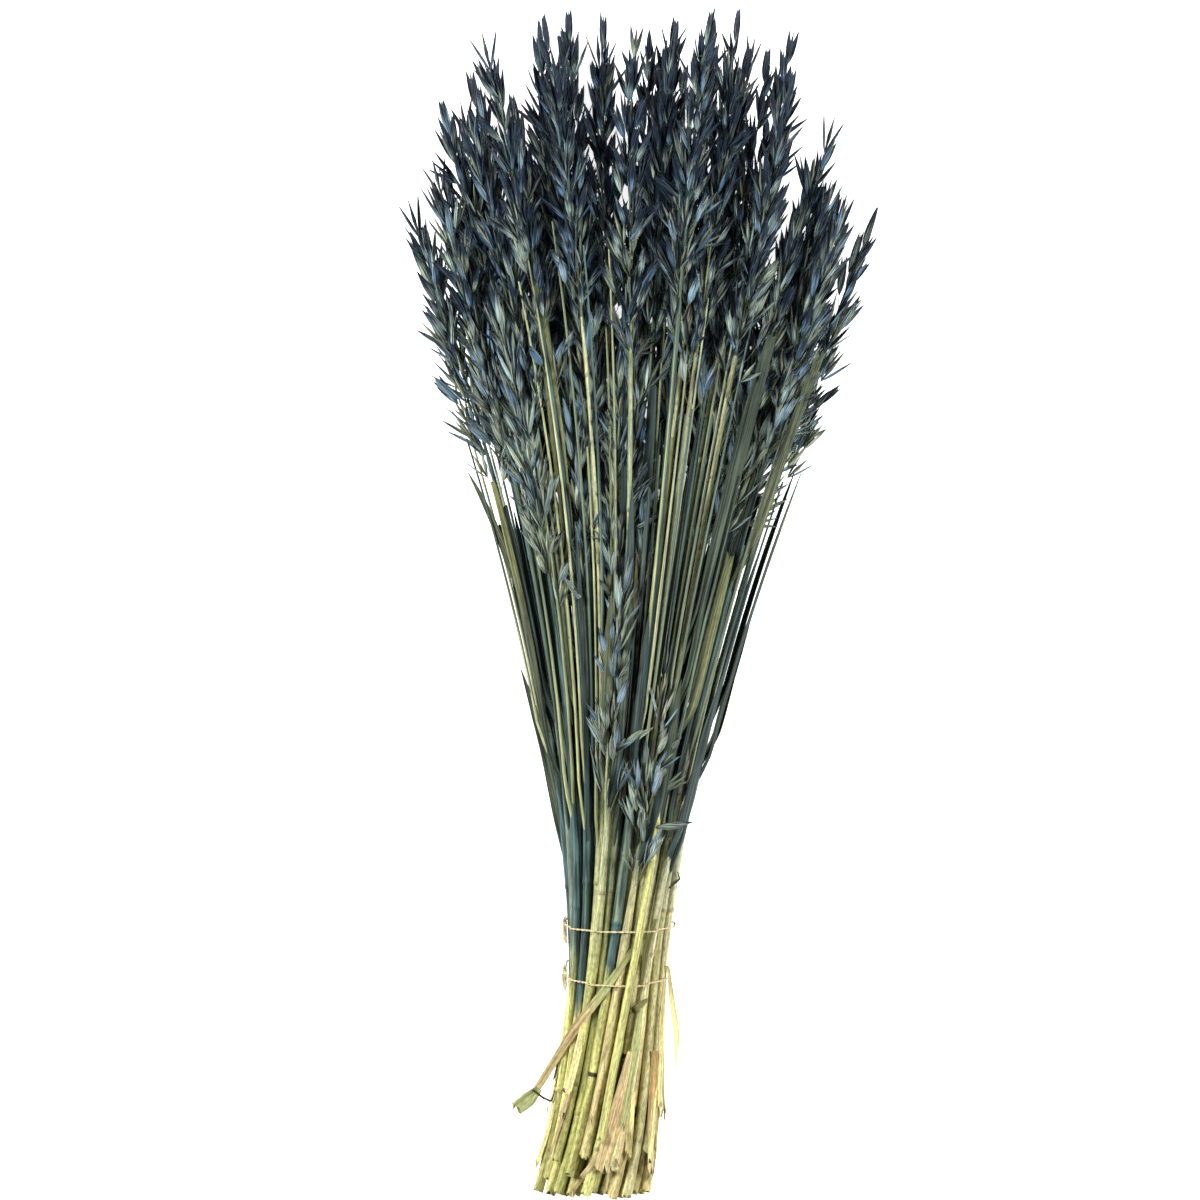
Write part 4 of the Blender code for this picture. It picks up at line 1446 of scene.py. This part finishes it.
def build_stem(stem, materials):
    """One stem's piece, which shows all that its node stands for."""
    rng = random.Random(SEED * 7000 + stem.index)
    dress(stem, rng)
    shape = Shape()
    add_straw(shape, stem, rng)
    add_rachis(shape, stem)
    for spikelet in stem.spikelets:
        add_spikelet(shape, spikelet)
    for shoot in stem.shoots:
        add_shoot(shape, shoot, rng)
    for leaf in stem.blades:
        add_blade(shape, leaf, rng)
    shape.corners = [nodding(corners, stem) for corners in shape.corners]
    number = f"{stem.index + 1:02d}"
    shape.finish("oat_" + number, materials, "oat", "stem_" + number)


# Strings


def tie_corner(stems, middle, tilt, turn):
    """Where the string's centre line passes at this turn round the axis, clear of every culm."""
    station = middle - tilt / 2 * math.sin(turn)
    half = math.pi / TIE_CORNERS
    corner = []
    for side in (turn - half, turn + half):
        out = facing(side)
        reach = max(
            stem.on_culm(s).dot(out) + stem.radius_at(s)
            for stem in stems
            for s in (station - TIE_HALF, station, station + TIE_HALF)
        )
        corner.append((out.x, out.z, reach + TIE_RADIUS + TIE_GAP))
    (a, b, p), (c, d, q) = corner
    det = a * d - b * c
    return Vector(((p * d - q * b) / det, FOOT_Y + station, (a * q - c * p) / det))


def closed_curve(corners, steps):
    """So many points on a smooth closed curve through the corners."""
    corners = np.array(corners)
    found = []
    for u in np.linspace(0, len(corners), steps, endpoint=False):
        k, t = int(u), u - int(u)
        a, b, c, d = (corners[(k + j) % len(corners)] for j in (-1, 0, 1, 2))
        found.append(b + 0.5 * t * (c - a + t * (2 * a - 5 * b + 4 * c - d + t * (3 * (b - c) + d - a))))
    return np.array(found)


def twisted(path, turns, phase):
    """A strand's path, wound round another path, and two directions square to that."""
    along = unit(np.roll(path, -1, axis=0) - np.roll(path, 1, axis=0))
    side = unit(np.cross(along, (0, 1, 0)))
    up = np.cross(side, along)
    angle = (phase + 2 * math.pi * turns * np.arange(len(path)) / len(path))[:, None]
    return path + STRAND_OFFSET * (side * np.cos(angle) + up * np.sin(angle)), side, up


def add_strand(shape, path, side, up, tone):
    """A closed round strand."""
    count = len(path) * STRAND_SIDES
    faces = loft_faces(len(path) + 1, STRAND_SIDES)[1:-1]
    faces = [[corner % count for corner in face] for face in faces]
    crosswise = np.arange(STRAND_SIDES) / STRAND_SIDES
    sections = path[:, None] + circles(side, up, STRAND_SIDES) * STRAND_RADIUS
    shape.loft(sections, Skin(tone, TWINE, 0), LOOK_TWINE, crosswise=crosswise, faces=faces)


def add_fibre(shape, knot, out, rng):
    """A frayed fibre that lies along the straws beside the knot, most often towards the foot."""
    sign = 1 if rng.random() < FIBRES_UP else -1
    way = Vector((0, sign, 0)) - out * rng.uniform(*FIBRE_AWAY) + Vector((0, 0, rng.uniform(*FIBRE_RISE)))
    length = FIBRE_LENGTH * rng.uniform(*FIBRE_LENGTHS) * (FIBRE_UP_LENGTH if sign > 0 else 1)
    bend = Vector([rng.uniform(*limits) for limits in FIBRE_BENDS]) * FIBRE_BEND * length
    start = knot + Vector([rng.uniform(-FIBRE_START, FIBRE_START) for _ in range(3)])
    way = way.normalized() * length
    path = [start + way * s + bend * math.sin(s * FIBRE_WAVES) for s in FIBRE_SHARES]
    radii = [FIBRE_RADIUS] * (len(path) - 1) + [FIBRE_RADIUS * FIBRE_END]
    shape.loft(tube(path, radii, FIBRE_SIDES), Skin(rng.random(), TWINE, 0), LOOK_TWINE)


def add_knot(shape, knot, out, rng):
    """A few turns of string pulled tight round each other."""
    path = []
    for share in np.linspace(0, 1, KNOT_STEPS):
        aside = swung(out, Vector((0, 0, 1)), share * KNOT_TURNS * 2 * math.pi)
        path.append(knot + Vector((0, (share - 0.5) * KNOT_LENGTH, 0)) + aside * KNOT_REACH)
    radii = [STRAND_RADIUS * KNOT_THICKER] * KNOT_STEPS
    shape.loft(tube(path, radii, KNOT_SIDES), Skin(rng.random(), TWINE, 0), LOOK_TWINE)


def build_string(name, stems, material, middle, tilt, knot_turn):
    rng = random.Random(name)
    turns = [2 * math.pi * k / TIE_CORNERS for k in range(TIE_CORNERS)]
    corners = [tie_corner(stems, middle, tilt, turn) for turn in turns]
    path = closed_curve(corners, STRAND_STEPS)
    length = np.linalg.norm(path - np.roll(path, 1, axis=0), axis=1).sum()
    shape = Shape()
    for phase in (0, math.pi):
        strand, side, up = twisted(path, round(length / STRAND_PITCH), phase)
        add_strand(shape, strand, side, up, rng.random())
    out = facing(knot_turn)
    knot = corners[round(knot_turn / (2 * math.pi) * TIE_CORNERS) % TIE_CORNERS] + out * KNOT_OUT
    add_knot(shape, knot, out, rng)
    for _ in range(FIBRES):
        add_fibre(shape, knot, out, rng)
    shape.finish(name.replace("tie", "string"), [material], "twine", name)


# Materials


class Look:
    """A procedural material in the making, over a Principled shader."""

    def __init__(self, name, roughness):
        self.material = bpy.data.materials.new(name)
        self.material.use_nodes = True
        self.nodes = self.material.node_tree.nodes
        self.shader = self.nodes["Principled BSDF"]
        self.shader.inputs["Roughness"].default_value = roughness
        self.shader.inputs["Specular IOR Level"].default_value = SHEEN
        self.tone, self.along, self.across = self.add("SeparateXYZ", self.attribute("marks")).outputs
        self.tint = self.attribute("tint")
        self.dye = self.attribute("dye", "Fac")

    def add(self, kind, *sources, **settings):
        """A node with these settings, and its first sockets fed from these sources."""
        node = self.nodes.new("ShaderNode" + kind)
        for name, value in settings.items():
            setattr(node, name, value)
        for source, target in zip(sources, node.inputs):
            self.link(source, target)
        return node

    def attribute(self, name, output="Vector"):
        return self.add("Attribute", attribute_name=name).outputs[output]

    def link(self, source, target):
        """Feed the target from another node's output, or set it to a plain value."""
        if isinstance(source, bpy.types.NodeSocket):
            self.material.node_tree.links.new(source, target)
        elif isinstance(source, tuple) and target.type == "RGBA":
            target.default_value = (*source, 1)
        else:
            target.default_value = source

    def math(self, operation, a, b=0.0):
        return self.add("Math", a, b, operation=operation).outputs[0]

    def scale(self, colour, factor):
        """The colour made so many times lighter."""
        node = self.add("VectorMath", colour, operation="SCALE")
        self.link(factor, node.inputs["Scale"])
        return node.outputs[0]

    def blend(self, share, a, b):
        """Colour a turned into colour b by this share."""
        node = self.add("Mix", share, data_type="RGBA")
        self.link(a, node.inputs[6])
        self.link(b, node.inputs[7])
        return node.outputs[2]

    def ease(self, value, low, high, to_low=0.0, to_high=1.0):
        """The value brought from one range to another, held at its ends."""
        ranges = (low, high, to_low, to_high)
        return self.add("MapRange", value, *ranges, interpolation_type="SMOOTHSTEP").outputs[0]

    def lit(self, colour, value, light):
        """The colour made lighter or darker where the value is high."""
        return self.scale(colour, self.ease(value, *light))

    def streaks(self, across, along, detail=NOISE_DETAIL):
        """Noise on the part's own marks, so many times across and along, other on each part."""
        times = ((self.across, across), (self.along, along), (self.tone, TONE_SHIFT))
        vector = self.add("CombineXYZ", *(self.math("MULTIPLY", mark, count) for mark, count in times))
        node = self.add("TexNoise", vector.outputs[0])
        node.inputs["Scale"].default_value = 1.0
        node.inputs["Detail"].default_value = detail
        return node.outputs["Fac"]

    def dyed(self, colour, dyed, grain):
        """The colour with the dye over it, which takes more in some places than in others."""
        low, high = (self.math(operation, grain, DYE_EDGE) for operation in ("SUBTRACT", "ADD"))
        return self.blend(self.ease(self.dye, low, high), colour, dyed)

    def finish(self, colour, height, depth):
        """The shader's colour, and a bump from this height."""
        self.link(colour, self.shader.inputs["Base Color"])
        bump = self.add("Bump")
        bump.inputs["Strength"].default_value = BUMP
        bump.inputs["Distance"].default_value = depth
        self.link(height, bump.inputs["Height"])
        self.link(bump.outputs["Normal"], self.shader.inputs["Normal"])
        return self.material


def fibre_look(name, roughness, across, along, dyed):
    """Dry plant skin: fine lines and broad streaks along the part, flecks, and dye."""
    look = Look(name, roughness)
    fine = look.streaks(across, along, FINE_DETAIL)
    broad = look.streaks(across / BROAD[0], along / BROAD[1])
    flecks = look.streaks(across * FLECKS[0], along * FLECKS[1])
    colour = look.lit(look.tint, fine, FINE_LIGHT)
    colour = look.lit(colour, broad, BROAD_LIGHT)
    colour = look.lit(colour, flecks, FLECK_LIGHT)
    grain = look.math("MULTIPLY", look.math("ADD", fine, broad), 0.5)
    return look.finish(look.dyed(colour, look.lit(dyed, fine, DYED_LIGHT), grain), fine, FIBRE_DEPTH)


def glume_look():
    look = Look("oat_glume", GLUME_ROUGHNESS)
    fine = look.streaks(*GLUME_LINES, FINE_DETAIL)
    ribs = look.math("SINE", look.math("MULTIPLY", look.across, RIBS))
    colour = look.lit(look.tint, fine, LINE_LIGHT)
    colour = look.lit(colour, look.tone, TONE_LIGHT)
    colour = look.lit(colour, ribs, RIB_LIGHT)
    edge = look.ease(look.math("ABSOLUTE", look.across), *GLUME_EDGE)
    colour = look.blend(edge, colour, EDGE_TINT)
    colour = look.dyed(colour, look.lit(GLUME_DYED, fine, GLUME_DYED_LIGHT), fine)
    return look.finish(colour, look.math("ADD", ribs, fine), RIB_DEPTH)


def twine_look():
    look = Look("twine_fibre", TWINE_ROUGHNESS)
    fine = look.streaks(*TWINE_LINES, FINE_DETAIL)
    return look.finish(look.blend(look.ease(fine, *TWINE_PARTS), TWINE_DARK, look.tint), fine, TWINE_DEPTH)


# Stage, light and camera


def build_floor():
    """A plain pale floor. It glows a little, so that it stays white up to the bunch."""
    sides = ((-1, -1), (1, -1), (1, 1), (-1, 1))
    mesh = bpy.data.meshes.new("floor")
    mesh.from_pydata([(x * FLOOR_HALF, y * FLOOR_HALF, 0) for x, y in sides], [], [(0, 1, 2, 3)])
    material = bpy.data.materials.new("plain_floor")
    material.use_nodes = True
    inputs = material.node_tree.nodes["Principled BSDF"].inputs
    inputs["Base Color"].default_value = (*FLOOR, 1)
    inputs["Roughness"].default_value = FLOOR_ROUGHNESS
    inputs["Emission Color"].default_value = (1, 1, 1, 1)
    inputs["Emission Strength"].default_value = FLOOR_GLOW
    mesh.materials.append(material)
    add_object("floor", mesh)


def add_light(name, spot, size, power):
    """A soft square light that faces the middle of the bunch."""
    light = bpy.data.lights.new(name, "AREA")
    light.size = size
    light.energy = power
    obj = add_object(name, light)
    obj.location = spot
    aim = Vector((0, 0, VIEW_LEVEL)) - obj.location
    obj.rotation_euler = aim.to_track_quat("-Z", "Y").to_euler()


def build_light():
    world = bpy.data.worlds.new("studio")
    world.use_nodes = True
    inputs = world.node_tree.nodes["Background"].inputs
    inputs["Color"].default_value = (1, 1, 1, 1)
    inputs["Strength"].default_value = WORLD_LIGHT
    bpy.context.scene.world = world
    for name, light in LIGHTS.items():
        add_light(name, *light)
    bpy.context.scene.view_settings.view_transform = "Standard"


def build_camera():
    camera = bpy.data.cameras.new("camera")
    camera.lens = camera.sensor_width * (CAMERA_HEIGHT - VIEW_LEVEL) / VIEW_WIDTH
    obj = add_object("camera", camera)
    obj.location = (VIEW_X, VIEW_Y, CAMERA_HEIGHT)
    bpy.context.scene.camera = obj


def main():
    build_camera()
    build_light()
    build_floor()
    stems = make_stems()
    grow(stems)
    grow_more(stems)
    fill_panicles(stems)
    straw, leaf, sheath = (fibre_look(name, *numbers) for name, numbers in FIBRE_LOOKS.items())
    materials = [straw, glume_look(), leaf, sheath]
    for stem in stems:
        build_stem(stem, materials)
    build_foot(stems, materials)
    twine = twine_look()
    for name, numbers in TIES.items():
        build_string(name, stems, twine, *numbers)


main()
